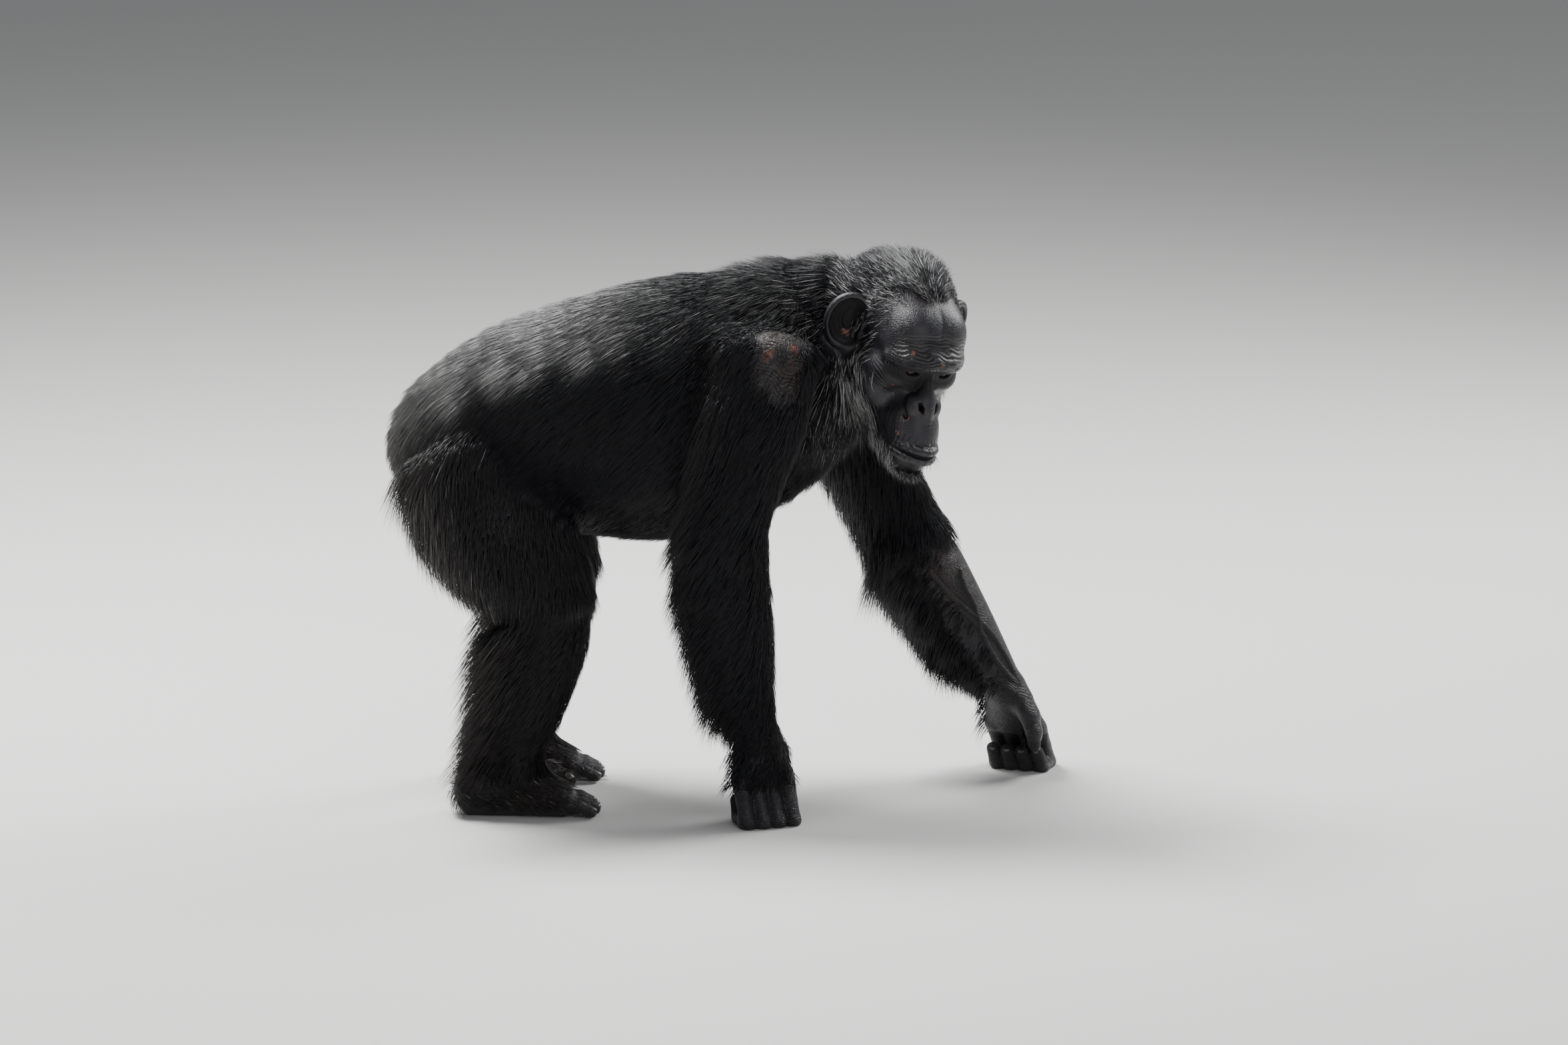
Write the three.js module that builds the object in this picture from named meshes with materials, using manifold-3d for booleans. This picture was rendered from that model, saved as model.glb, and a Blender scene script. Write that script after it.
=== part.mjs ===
// A chimpanzee walking on its soles and knuckles with its face turned to its right, as a
// life-size still model. Millimetres, X forward, Y to the animal's left, Z up from the floor.
// The whole animal is joined first and then parted into its named pieces by thin cuts.

import * as THREE from 'three';
import Module from 'manifold-3d';
import { mergeVertices } from 'three/addons/utils/BufferGeometryUtils.js';

const wasm = await Module();
wasm.setup();

// Driving sizes of the coat
const gap = 0.3; // between neighbouring pieces
const coatCore = 7; // the dense under-coat that the locks grow from
const seed = 7;
const torsoSides = 12;
const limbSides = 8;

// Rings of each length of the body: centre x, y, z, then half depth and half width
const torsoRings = [
  [-418, 0, 494, 58, 82],
  [-375, 0, 515, 94, 118],
  [-312, 0, 529, 124, 138],
  [-243, 0, 540, 147, 150],
  [-161, 0, 546, 166, 160],
  [-80, 0, 554, 176, 160],
  [0, 0, 574, 169, 146],
  [60, 0, 602, 149, 134],
  [104, 0, 624, 122, 114],
  [134, -3, 636, 92, 90],
];
const neckRings = [
  [92, -2, 636, 104, 92],
  [134, -8, 650, 94, 66],
  [172, -24, 662, 92, 52],
  [208, -42, 668, 70, 48],
];
const thighRings = [
  [-356, 78, 500, 90, 74],
  [-322, 92, 440, 98, 70],
  [-288, 102, 385, 90, 62],
  [-256, 108, 342, 70, 53],
  [-240, 110, 312, 54, 46],
];
const shinRings = [
  [-238, 110, 320, 50, 45],
  [-250, 109, 262, 58, 46],
  [-264, 108, 205, 55, 42],
  [-276, 106, 150, 46, 35],
  [-290, 104, 105, 38, 29],
  [-298, 103, 60, 39, 28],
];
const footRings = [
  [-362, 103, 29, 31, 26],
  [-332, 103, 36, 38, 31],
  [-292, 102, 37, 40, 34],
  [-254, 101, 27, 30, 38],
  [-226, 100, 19, 22, 40],
];
const rightUpperArmRings = [
  [58, -132, 658, 68, 50],
  [48, -147, 594, 66, 50],
  [30, -155, 524, 57, 45],
  [12, -160, 459, 51, 42],
  [0, -161, 402, 49, 41],
];
const rightForearmRings = [
  [1, -161, 404, 47, 41],
  [6, -159, 354, 49, 42],
  [14, -154, 293, 45, 39],
  [22, -149, 232, 39, 34],
  [30, -144, 171, 32, 30],
  [43, -140, 116, 27, 30],
];
const leftUpperArmRings = [
  [118, 120, 608, 72, 50],
  [160, 132, 531, 62, 48],
  [200, 141, 456, 54, 45],
  [236, 147, 386, 51, 43],
  [258, 149, 341, 50, 42],
];
const leftForearmRings = [
  [256, 149, 344, 49, 42],
  [284, 149, 299, 51, 43],
  [312, 148, 254, 47, 40],
  [342, 147, 206, 41, 36],
  [372, 146, 157, 34, 31],
  [400, 145, 112, 27, 30],
];

// The head's own frame: x out of the face, y to its left, z to its crown, from between the ears
const headPlace = { at: [239, -58, 663], turn: 64, nod: 29, tilt: -10 };
const eye = { at: [76, 25, 9], radius: 12 };
const skull = { at: [-8, 0, 37], radii: [93, 72, 63] };
const ear = { root: [0, 62, 13], reach: 27, tall: 42, wide: 33, thick: 15, sweep: 30, lean: 10 };

// Hands, each in its own frame at the wrist: x out of its back, y across it and z up. The palm is
// turned inwards, and the hand leans forward as it goes down
const rightHand = { wrist: [43, -140, 116], knuckle: -54, floor: -108.5, turn: -72, lean: 0.06, thumb: 1 };
const leftHand = { wrist: [400, 145, 112], knuckle: -50, floor: -104.5, turn: 72, lean: 0.16, thumb: -1 };
const palm = { knuckleOut: 14, jointOut: 38, tipOut: -4 };
const finger = {
  radii: [13.5, 12.5, 11.6, 10.4],
  spread: 21.5,
  count: 4,
  curl: [-7, 22],
  longest: 1.4,
  taper: 2.2,
};
const toe = { radii: [9.4, 8.6], spread: 20, count: 4, reach: 44, longest: 1.3, taper: 5, heights: [20, 10] };

const sides = [
  ['right', -1],
  ['left', 1],
];
const at = (x, y, z) => new THREE.Vector3(x, y, z);
const radians = THREE.MathUtils.degToRad;

// A seeded draw between two values
let drawState = seed;
function draw(low, high) {
  drawState = (drawState * 1664525 + 1013904223) % 4294967296;
  return low + ((high - low) * drawState) / 4294967296;
}

// A closed three.js geometry as a solid that can be joined and cut
function solid(geometry) {
  geometry.deleteAttribute('normal');
  geometry.deleteAttribute('uv');
  const merged = mergeVertices(geometry, 1e-3);
  const mesh = new wasm.Mesh({
    numProp: 3,
    vertProperties: new Float32Array(merged.attributes.position.array),
    triVerts: new Uint32Array(merged.index.array),
  });
  return new wasm.Manifold(mesh);
}

function join(pieces) {
  let rest = [...pieces];
  while (rest.length > 1) {
    const pairs = [];
    for (let i = 0; i < rest.length; i += 2) {
      pairs.push(i + 1 < rest.length ? rest[i].add(rest[i + 1]) : rest[i]);
    }
    rest = pairs;
  }
  return rest[0];
}

// An ellipsoid, turned about x, y and z in degrees
function ball(centre, radii, turn = [0, 0, 0], around = 10, up = 7) {
  const geometry = new THREE.SphereGeometry(1, around, up);
  geometry.rotateX(Math.PI / 2);
  geometry.scale(...radii);
  geometry.applyMatrix4(
    new THREE.Matrix4().makeRotationFromEuler(new THREE.Euler(...turn.map(radians), 'ZYX')),
  );
  geometry.translate(...centre);
  return solid(geometry);
}

// A skin stretched over rings of equally many points and closed by a point at each end
function stretch(rings, first, last) {
  const count = rings[0].length;
  const points = [first, ...rings.flat(), last];
  const faces = [];
  for (let j = 0; j < count; j += 1) {
    const k = (j + 1) % count;
    faces.push(0, 1 + k, 1 + j);
    for (let i = 0; i + 1 < rings.length; i += 1) {
      const a = 1 + i * count;
      const b = a + count;
      faces.push(a + j, a + k, b + k, a + j, b + k, b + j);
    }
    const end = 1 + (rings.length - 1) * count;
    faces.push(end + j, end + k, points.length - 1);
  }
  const geometry = new THREE.BufferGeometry().setFromPoints(points);
  geometry.setIndex(faces);
  return geometry;
}

// How far a length reaches along one of its axes
function span(rings, axis) {
  const values = rings.map((ring) => ring[axis]);
  return Math.max(...values) - Math.min(...values);
}

// The directions of a ring: along the body, to its side and through its depth
function ringFrame(rings, i) {
  const crosswise = span(rings, 1) > Math.max(span(rings, 0), span(rings, 2));
  const sideways = crosswise ? at(0, 0, 1) : at(0, 1, 0);
  const before = rings[Math.max(i - 1, 0)];
  const after = rings[Math.min(i + 1, rings.length - 1)];
  const along = at(after[0] - before[0], after[1] - before[1], after[2] - before[2]).normalize();
  const side = sideways.addScaledVector(along, -along.dot(sideways)).normalize();
  const depth = side.clone().cross(along);
  return { along, side, depth };
}

// A rounded length of body through its rings, grown all over by the coat
function length(rings, grow, sides = 12) {
  const sections = [];
  const last = rings.length - 1;
  const section = (i, shift, shrink) => {
    const [x, y, z, halfDepth, halfWidth] = rings[i];
    const { along, side, depth } = ringFrame(rings, i);
    const centre = at(x, y, z).addScaledVector(along, shift);
    return Array.from({ length: sides }, (_, j) => {
      const angle = (2 * Math.PI * j) / sides;
      return centre
        .clone()
        .addScaledVector(side, Math.cos(angle) * (halfWidth + grow) * shrink)
        .addScaledVector(depth, -Math.sin(angle) * (halfDepth + grow) * shrink);
    });
  };
  const bulge = (i) => 0.6 * Math.min(rings[i][3], rings[i][4]) + grow;
  sections.push(section(0, -0.7 * bulge(0), 0.7));
  rings.forEach((_, i) => sections.push(section(i, 0, 1)));
  sections.push(section(last, 0.7 * bulge(last), 0.7));
  const pole = (i, shift) => {
    const [x, y, z] = rings[i];
    return at(x, y, z).addScaledVector(ringFrame(rings, i).along, shift);
  };
  return solid(stretch(sections, pole(0, -bulge(0)), pole(last, bulge(last))));
}

// A round rod through points, with a radius at each
function rod(points, radii, sides = 5) {
  const rings = points.map(([x, y, z], i) => [x, y, z, radii[i], radii[i]]);
  return length(rings, 0, sides);
}

const mirrored = (rings) => rings.map(([x, y, z, ...half]) => [x, -y, z, ...half]);

// The head in its own frame
function makeSkull() {
  const pieces = [
    ball(skull.at, skull.radii, [0, 0, 0], 12, 8),
    ball([-42, 0, 6], [56, 62, 56], [0, 0, 0], 7, 5),
    ball([44, 0, 30], [50, 60, 38], [6, 12, 9], 8, 5),
    ball([112, 0, -68], [58, 34, 36], [0, 50, 0], 11, 8),
    ball([100, 0, -104], [48, 30, 23], [0, 8, 0]),
    ball([56, 0, -72], [58, 43, 46], [0, 32, 0], 9, 6),
  ];
  for (const side of [-1, 1]) {
    pieces.push(ball([24, side * 44, -38], [48, 30, 54], [0, 24, side * -6], 8, 5));
    pieces.push(ball([60, side * 44, -10], [28, 20, 18], [0, 0, side * -24], 8, 5));
  }
  const brow = [-1, -0.52, 0, 0.52, 1].map((step) => [98 - 31 * step ** 2, 56 * step, 35 - 16 * step ** 2]);
  pieces.push(rod(brow, [10, 13.5, 11.5, 13.5, 10], 6));
  return join(pieces);
}

function makeNose() {
  const pieces = [
    rod([[90, 0, 8], [109, 0, -18]], [6.5, 10]),
    ball([112, 0, -27], [25, 17, 14], [0, 50, 0], 8, 5),
    rod([[120, 0, -33], [130, 0, -41]], [11, 5.5]),
  ];
  for (const side of [-1, 1]) {
    pieces.push(ball([109, side * 15, -32], [17, 11.5, 13], [0, 50, side * -8], 7, 5));
  }
  return join(pieces);
}

function makeNostrils() {
  const opening = (side) => rod([[118, side * 11, -20], [126, side * 7, -31]], [5.4, 4.2]);
  return join([-1, 1].map(opening));
}

// The line of the mouth runs round the muzzle from corner to corner
function mouthArc(out, drop, reach = 1) {
  return [-1, -0.68, -0.34, 0, 0.34, 0.68, 1].map((step) => {
    const angle = step * 1.2 * reach;
    const across = (34.8 + out * 0.4) * Math.sin(angle);
    return [106 + out + 59 * Math.cos(angle), across, -77 + drop - 11 * step * step];
  });
}

function makeLips() {
  return join([
    rod(mouthArc(-4, 5), [2.6, 4.8, 5.5, 5.6, 5.5, 4.8, 2.6]),
    rod(mouthArc(-4, -8.5), [3, 6.2, 7.2, 7.4, 7.2, 6.2, 3]),
  ]);
}

function makeMouthLine() {
  return rod(mouthArc(-1.5, -1.2, 0.98), [1.2, 2.2, 2.6, 2.7, 2.6, 2.2, 1.2], 4);
}

function eyePlace(side) {
  return [eye.at[0], side * eye.at[1], eye.at[2]];
}

function makeEye(side, grow) {
  return ball(eyePlace(side), Array(3).fill(eye.radius + grow), [9, 14, 6], 10, 7);
}

function makeLids(side) {
  const [x, y, z] = eyePlace(side);
  const lids = ball([x, y, z], [15.5, 17, 15.5], [0, 0, 0], 8, 6);
  const opening = ball([x + 12, y + side * 1, z], [12, 10, 4.2], [0, 0, 0], 8, 5);
  return lids.subtract(opening);
}

// An ellipsoid in an ear's own frame: x out along the ear, y to its hollow front, z up it
function earShape(side, centre, radii, around = 10, up = 6) {
  const sweep = radians(ear.sweep);
  const lean = radians(ear.lean);
  const out = at(-Math.sin(sweep), side * Math.cos(sweep), 0);
  const tall = at(-Math.sin(lean), 0, Math.cos(lean)).addScaledVector(out, -0.1).normalize();
  const front = out.clone().cross(tall).multiplyScalar(side).normalize();
  const place = new THREE.Matrix4().makeBasis(out, front, tall);
  place.setPosition(ear.root[0], side * ear.root[1], ear.root[2]);
  return ball(centre, radii, [0, 0, 0], around, up).transform(place.elements);
}

// One ear: a dish that stands out from the head, hollowed from its front inside the rim
function makeEar(side) {
  const dish = earShape(side, [ear.reach, -3, 2], [ear.wide, ear.thick, ear.tall], 12, 8);
  const lobe = earShape(side, [ear.reach * 0.42, -2, -ear.tall * 0.66], [ear.wide * 0.44, 8, 14], 8, 5);
  const cupSize = [ear.wide * 0.86, ear.thick * 1.33, ear.tall * 0.87];
  const cup = earShape(side, [ear.reach - 2, ear.thick * 0.6, 3], cupSize, 11, 6);
  return dish.add(lobe).subtract(cup);
}

function headMatrix() {
  const matrix = new THREE.Matrix4().makeTranslation(...headPlace.at);
  matrix.multiply(new THREE.Matrix4().makeRotationZ(radians(-headPlace.turn)));
  matrix.multiply(new THREE.Matrix4().makeRotationY(radians(headPlace.nod)));
  matrix.multiply(new THREE.Matrix4().makeRotationX(radians(headPlace.tilt)));
  return matrix;
}

const placed = (piece) => piece.transform(headMatrix().elements);

// A hand resting on the backs of its middle finger bones, its fingers curled under the palm
function makeHand(hand) {
  const palmRings = [
    [-6, 0, 14, 27, 29],
    [palm.knuckleOut * 0.5, 0, hand.knuckle * 0.5, 23, 40],
    [palm.knuckleOut, 0, hand.knuckle, 18, 43],
  ];
  const pieces = [length(palmRings, 0, 9)];
  for (let i = 0; i < finger.count; i += 1) {
    const across = (i - (finger.count - 1) / 2) * finger.spread;
    const shorter = finger.taper * Math.abs(i - finger.longest);
    const joints = [
      [palm.knuckleOut, across, hand.knuckle],
      [palm.jointOut - shorter, across, hand.floor],
      [palm.tipOut + shorter, across, hand.floor],
      [palm.tipOut + finger.curl[0] + shorter, across, hand.floor + finger.curl[1]],
    ];
    pieces.push(rod(joints, finger.radii));
  }
  const thumb = [
    [-10, 20, -6],
    [-20, 33, -24],
    [-26, 38, -46],
    [-25, 35, -67],
  ];
  const placedThumb = thumb.map(([x, y, z]) => [x, y * hand.thumb, z]);
  pieces.push(rod(placedThumb, [20, 15.5, 12, 9.5]));
  const place = new THREE.Matrix4().makeTranslation(...hand.wrist);
  place.multiply(new THREE.Matrix4().makeShear(0, 0, 0, 0, -hand.lean, 0));
  place.multiply(new THREE.Matrix4().makeRotationZ(radians(hand.turn)));
  return join(pieces).transform(place.elements);
}

// A foot flat on its sole, its great toe spread to the inside like a thumb
function makeFoot(side) {
  const rings = side < 0 ? mirrored(footRings) : footRings;
  const pieces = [length(rings, 1, 9)];
  const ballRing = rings[rings.length - 1];
  for (let i = 0; i < toe.count; i += 1) {
    const y = ballRing[1] + (i - (toe.count - 1) / 2) * toe.spread;
    const tip = ballRing[0] + toe.reach - toe.taper * Math.abs(i - toe.longest);
    const joints = [
      [ballRing[0] + 4, y, toe.heights[0]],
      [tip, y, toe.heights[1]],
    ];
    pieces.push(rod(joints, toe.radii));
  }
  const greatToe = [
    [-292, 81, 20],
    [-258, 51, 20],
    [-226, 33, 13],
  ];
  pieces.push(rod(side < 0 ? mirrored(greatToe) : greatToe, [19, 15, 12]));
  return join(pieces);
}

// Where a point lies in a length of body: under 1 is inside it
function measure(point, rings, grow) {
  let nearest = Infinity;
  for (let i = 0; i + 1 < rings.length; i += 1) {
    const start = at(...rings[i].slice(0, 3));
    const reach = at(...rings[i + 1].slice(0, 3)).sub(start);
    const t = THREE.MathUtils.clamp(point.clone().sub(start).dot(reach) / reach.lengthSq(), 0, 1);
    const off = point.clone().sub(start.addScaledVector(reach, t));
    const { along, side, depth } = ringFrame(rings, t < 0.5 ? i : i + 1);
    const halfDepth = THREE.MathUtils.lerp(rings[i][3], rings[i + 1][3], t) + grow;
    const halfWidth = THREE.MathUtils.lerp(rings[i][4], rings[i + 1][4], t) + grow;
    const value = Math.hypot(
      off.dot(side) / halfWidth,
      off.dot(depth) / halfDepth,
      off.dot(along) / Math.min(halfDepth, halfWidth),
    );
    nearest = Math.min(nearest, value);
  }
  return nearest;
}

// A place on a length of body: t from 0 to 1 along it, or past its rounded ends, at an angle
// round it and held off by a lift
function surface(rings, t, angle, lift) {
  const place = THREE.MathUtils.clamp(t, 0, 1) * (rings.length - 1);
  const i = Math.min(Math.floor(place), rings.length - 2);
  const value = rings[i].map((v, k) => THREE.MathUtils.lerp(v, rings[i + 1][k], place - i));
  const [near, far] = [ringFrame(rings, i), ringFrame(rings, i + 1)];
  const side = near.side.lerp(far.side, place - i).normalize();
  const depth = near.depth.lerp(far.depth, place - i).normalize();
  const along = depth.clone().cross(side);
  const past = t < 0 ? t : Math.max(0, t - 1);
  const round = THREE.MathUtils.clamp(past * endTurn, -1.4, 1.4);
  const endReach = 0.75 * Math.min(value[3], value[4]) + lift;
  return at(value[0], value[1], value[2])
    .addScaledVector(side, Math.cos(angle) * (value[4] + lift) * Math.cos(round))
    .addScaledVector(depth, -Math.sin(angle) * (value[3] + lift) * Math.cos(round))
    .addScaledVector(along, Math.sin(round) * endReach);
}

// One flat lock of hair, ridged along its middle: rooted in the coat, following a path just
// off the body and tapered to its tip
function makeLock(path, size) {
  const rings = [0, 0.55].map((s, i) => {
    const middle = path(s, s === 0 ? -size.sink : 0);
    const out = path(s, 1).sub(path(s, 0)).normalize();
    const lie = path(s + 0.05, 0).sub(path(s - 0.05, 0)).normalize();
    const side = out.clone().cross(lie).normalize();
    const half = 0.5 * size.wide * [0.7, 1][i];
    return [
      middle.clone().addScaledVector(side, -half),
      middle.clone().addScaledVector(side, half),
      middle.clone().addScaledVector(out, size.thick * [0.8, 1][i]),
    ];
  });
  return solid(stretch(rings, path(0, -size.sink - 1), path(1, 0)));
}

// Rows of locks round a length of body, left out where another length covers them
function coat(rings, covering, rule) {
  const locks = [];
  const covered = (point) => covering.some((other) => measure(point, other, coatCore) < 1.02);
  for (let row = 0; row < rule.rows; row += 1) {
    const t = rule.from + ((rule.to - rule.from) * (row + 0.5)) / rule.rows;
    for (let j = 0; j < rule.around; j += 1) {
      const turn = (j + 0.5 * (row % 2) + draw(-0.18, 0.18)) / rule.around;
      const angle = turn * 2 * Math.PI;
      const vary = draw(0.86, 1.14);
      const size = rule.size(angle, t);
      if (!size) continue;
      const stand = (s) => size.rise[0] + (size.rise[1] - size.rise[0]) * Math.max(0, s) ** 1.4;
      const path = (s, more) =>
        surface(rings, t + size.along * vary * s, angle + size.round * vary * s, coatCore + stand(s) + more);
      if (covered(path(0.1, 0)) || covered(path(0.6, 0))) continue;
      locks.push(makeLock(path, { ...size, wide: size.wide * vary }));
    }
  }
  return locks;
}

const endTurn = 5.5; // how fast hair that runs past a rounded end turns over it
const napeStand = 24; // how far the erect hair of the nape stands off
const plainLock = { wide: 40, thick: 7, rise: [4, 15], sink: 11 };

// Which way round is down the flanks, or back round a limb: towards the angle of 270 degrees
const roundDown = (angle) => -Math.cos(angle);
const behind = (angle) => Math.max(0, -Math.sin(angle));

// Back and flanks: the coat lies back and down, and turns down over the rump
function torsoCoat(covering) {
  return coat(torsoRings, covering, {
    rows: 6,
    from: 0.0,
    to: 0.98,
    around: 7,
    size: (angle, t) => ({
      ...plainLock,
      wide: 102,
      rise: [4, t < 0.12 ? 5 : 15 + napeStand * Math.max(0, Math.sin(angle)) * Math.max(0, 3 * t - 2)],
      along: behind(angle) > 0.6 ? -0.14 : -0.22,
      round: 0.2 * roundDown(angle),
    }),
  });
}

function neckCoat(covering) {
  return coat(neckRings, covering, {
    rows: 2,
    from: -0.1,
    to: 0.8,
    around: 5,
    size: (angle) => ({
      ...plainLock,
      wide: 62,
      rise: [5, 12 + napeStand * Math.max(0, Math.sin(angle))],
      along: -0.45,
      round: 0.3 * roundDown(angle),
    }),
  });
}

// Haunch and lower leg: hair lies back and down, and stands off behind as a fringe
function legCoat(side, covering) {
  const [thigh, shin] = [thighRings, shinRings].map((rings) => (side < 0 ? mirrored(rings) : rings));
  return [
    ...coat(thigh, covering, {
      rows: 3,
      from: -0.05,
      to: 0.92,
      around: 6,
      size: (angle) => ({
        ...plainLock,
        wide: 58,
        rise: [4, 12 + 58 * behind(angle) ** 2],
        along: 0.34,
        round: 0.62 * roundDown(angle),
      }),
    }),
    ...coat(shin, covering, {
      rows: 2,
      from: 0.0,
      to: 0.84,
      around: 5,
      size: (angle) => ({
        ...plainLock,
        wide: 56,
        rise: [4, 11 + 50 * behind(angle) ** 2],
        along: 0.38,
        round: 0.6 * roundDown(angle),
      }),
    }),
  ];
}

// Arms: the hair sweeps back off the front and hangs behind as a fringe
function armCoat(upper, fore, bareInside, covering) {
  const bare = (angle) => bareInside && Math.cos(angle) < 0.1 && behind(angle) < 0.75;
  return [
    ...coat(upper, covering, {
      rows: 3,
      from: 0.0,
      to: 0.96,
      around: 5,
      size: (angle) => ({
        ...plainLock,
        wide: 50,
        rise: [4, 11 + 42 * behind(angle) ** 2],
        along: 0.34,
        round: 0.45 * roundDown(angle),
      }),
    }),
    ...coat(fore, covering, {
      rows: 3,
      from: 0.02,
      to: 0.86,
      around: 5,
      size: (angle, t) =>
        !bare(angle) && {
          ...plainLock,
          wide: 52 - 12 * t,
          rise: [3, 10 + 58 * behind(angle) ** 2],
          along: 0.25,
          round: 0.6 * roundDown(angle),
        },
    }),
  ];
}

const lengths = {
  torso: torsoRings,
  neck: neckRings,
  rightThigh: mirrored(thighRings),
  leftThigh: thighRings,
  rightShin: mirrored(shinRings),
  leftShin: shinRings,
  rightUpperArm: rightUpperArmRings,
  rightForearm: rightForearmRings,
  leftUpperArm: leftUpperArmRings,
  leftForearm: leftForearmRings,
};

// Whiskers, beard, crown and nape on the head, in its own frame
function headCoat() {
  const locks = [];
  const tuft = (root, out, flow, size) => {
    const normal = at(...out).normalize();
    const lie = at(...flow);
    lie.addScaledVector(normal, -lie.dot(normal)).normalize();
    const path = (s, more) =>
      at(...root)
        .addScaledVector(lie, size.long * s)
        .addScaledVector(normal, size.stand * s + 3 * Math.sin(3 * s) + more);
    locks.push(makeLock(path, { thick: 6, sink: 7, ...size }));
  };
  const whisker = { long: 56, wide: 34, stand: 8 };
  const beard = { long: 30, wide: 36, stand: 2 };
  for (const side of [-1, 1]) {
    for (let i = 0; i < 3; i += 1) {
      const down = -8 - 34 * i;
      tuft([11 * i, side * 70, down], [-0.2, side, 0], [0.15 + 0.15 * i, side * 0.1, -0.9], whisker);
      const fore = [24 + 15 * i, side * (84 - 22 * i), down - 12];
      if (i) tuft(fore, [0.1, side, 0], [0.5, 0, -0.9], whisker);
    }
    tuft([88, side * 19, -120], [0.3, side * 0.7, -0.6], [-0.1, side * 0.1, -1], beard);
  }
  const crown = { long: 66, wide: 50, stand: 4 };
  for (let row = 0; row < 2; row += 1) {
    for (let j = -1; j <= 1; j += 1) {
      const round = 0.62 * (j + 0.3 * (row % 2));
      const back = 0.1 + 0.75 * row;
      const out = at(-Math.sin(back), Math.sin(round) * Math.cos(back), Math.cos(round) * Math.cos(back));
      const root = at(...skull.at).add(out.clone().multiply(at(...skull.radii)));
      tuft(root.toArray(), out.toArray(), [-1, 0.25 * round, -0.2], crown);
    }
  }
  return locks;
}

function makeWhole() {
  const all = Object.values(lengths);
  const flesh = Object.entries(lengths).map(([name, rings]) =>
    length(rings, coatCore, name === 'torso' ? torsoSides : limbSides),
  );
  flesh.push(makeHand(rightHand), makeHand(leftHand), makeFoot(-1), makeFoot(1));
  const head = join([makeSkull(), makeNose(), makeLids(-1), makeLids(1), makeLips()]);
  const carved = head.subtract(makeMouthLine()).subtract(makeNostrils());
  const whiskered = join([carved, ...headCoat(), makeEar(-1), makeEar(1)]);
  const sockets = [-1, 1].map((side) => makeEye(side, gap));
  const rightArm = [lengths.rightUpperArm, lengths.rightForearm];
  const leftArm = [lengths.leftUpperArm, lengths.leftForearm];
  const without = (...own) => all.filter((rings) => !own.includes(rings));
  const hair = [
    ...torsoCoat(without(lengths.torso)),
    ...neckCoat(without(lengths.neck)),
    ...legCoat(-1, without(lengths.rightThigh, lengths.rightShin)),
    ...legCoat(1, without(lengths.leftThigh, lengths.leftShin)),
    ...armCoat(...rightArm, false, without(...rightArm)),
    ...armCoat(...leftArm, true, without(...leftArm)),
  ];
  const body = join([...flesh, ...hair, placed(whiskered)]);
  const above = box([0, 0, 500], [2000, 1000, 1000]);
  return body.intersect(above).subtract(placed(join(sockets)));
}

// A block whose own x axis is turned towards a direction
function box(centre, size, towards = at(1, 0, 0)) {
  const geometry = new THREE.BoxGeometry(...size);
  const turn = new THREE.Quaternion().setFromUnitVectors(at(1, 0, 0), towards.clone().normalize());
  geometry.applyQuaternion(turn);
  geometry.translate(...centre);
  return solid(geometry);
}

// The largest closed body of a piece
function largest(piece) {
  const bodies = piece.decompose();
  return bodies.reduce((best, body) => (body.volume() > best.volume() ? body : best));
}

// Where each named piece is parted from the rest, in order: each takes what is left in its region
function regions() {
  const list = [];
  const add = (name, shape) => list.push([name, shape]);
  const block = (centre, size, towards) => (grow) => box(centre, size.map((v) => v + 2 * grow), towards);
  const globe = (centre, radii) => (grow) => ball(centre, radii.map((v) => v + grow));
  const joined = (...shapes) => (grow) => join(shapes.map((shape) => shape(grow)));
  const leftReach = at(0.5, 0, -0.866);
  for (const [name, side] of sides) {
    const dishSize = [ear.wide + 8, 17, ear.tall + 8];
    const dish = (grow) => earShape(side, [ear.reach, 0, 0], dishSize.map((v) => v + grow));
    const outside = block([0, side * 124, 0], [300, 100, 300]);
    add(`ear_${name}`, (grow) => placed(dish(grow).intersect(outside(grow))));
  }
  add('head', (grow) => placed(globe([36, 0, -6], [138, 118, 146])(grow)));
  add('hand_right', block([50, -142, 20], [200, 150, 196]));
  add('hand_left', block([442, 145, 36], [170, 150, 150], leftReach));
  add('forearm_right', block([0, -165, 200], [260, 150, 370]));
  add('forearm_left', block([340, 160, 195], [330, 150, 330], leftReach));
  for (const [name, side] of sides) {
    add(`foot_${name}`, block([-290, side * 110, -40], [260, 180, 204]));
    const shin = block([-240, side * 110, 160], [220, 200, 320]);
    const calf = block([-380, side * 110, 125], [100, 200, 250]);
    add(`lower_leg_${name}`, joined(shin, calf));
    const haunch = globe([-330, side * 150, 400], [170, 96, 190]);
    const fringe = block([-330, side * 101, 290], [400, 200, 80]);
    add(`thigh_${name}`, joined(haunch, fringe));
  }
  const rightShoulder = globe([40, -182, 590], [102, 74, 165]);
  const rightElbow = globe([0, -172, 405], [92, 66, 80]);
  add('upper_arm_right', joined(rightShoulder, rightElbow));
  const leftShoulder = globe([150, 176, 550], [112, 76, 170]);
  const leftElbow = block([225, 150, 400], [240, 160, 180], leftReach);
  add('upper_arm_left', joined(leftShoulder, leftElbow));
  add('neck', block([330, 0, 600], [400, 500, 500]));
  add('chest', block([125, 0, 500], [400, 600, 900]));
  add('belly', block([-170, 0, 500], [195, 600, 900]));
  return list;
}

// Parts the whole by its regions, leaving a gap at each cut
function partAll(whole) {
  const parts = {};
  let rest = whole;
  for (const [name, shape] of regions()) {
    parts[name] = largest(rest.intersect(shape(0)));
    rest = rest.subtract(shape(gap));
  }
  parts.rump = largest(rest);
  return parts;
}

const whole = makeWhole();
const parts = partAll(whole);

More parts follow.
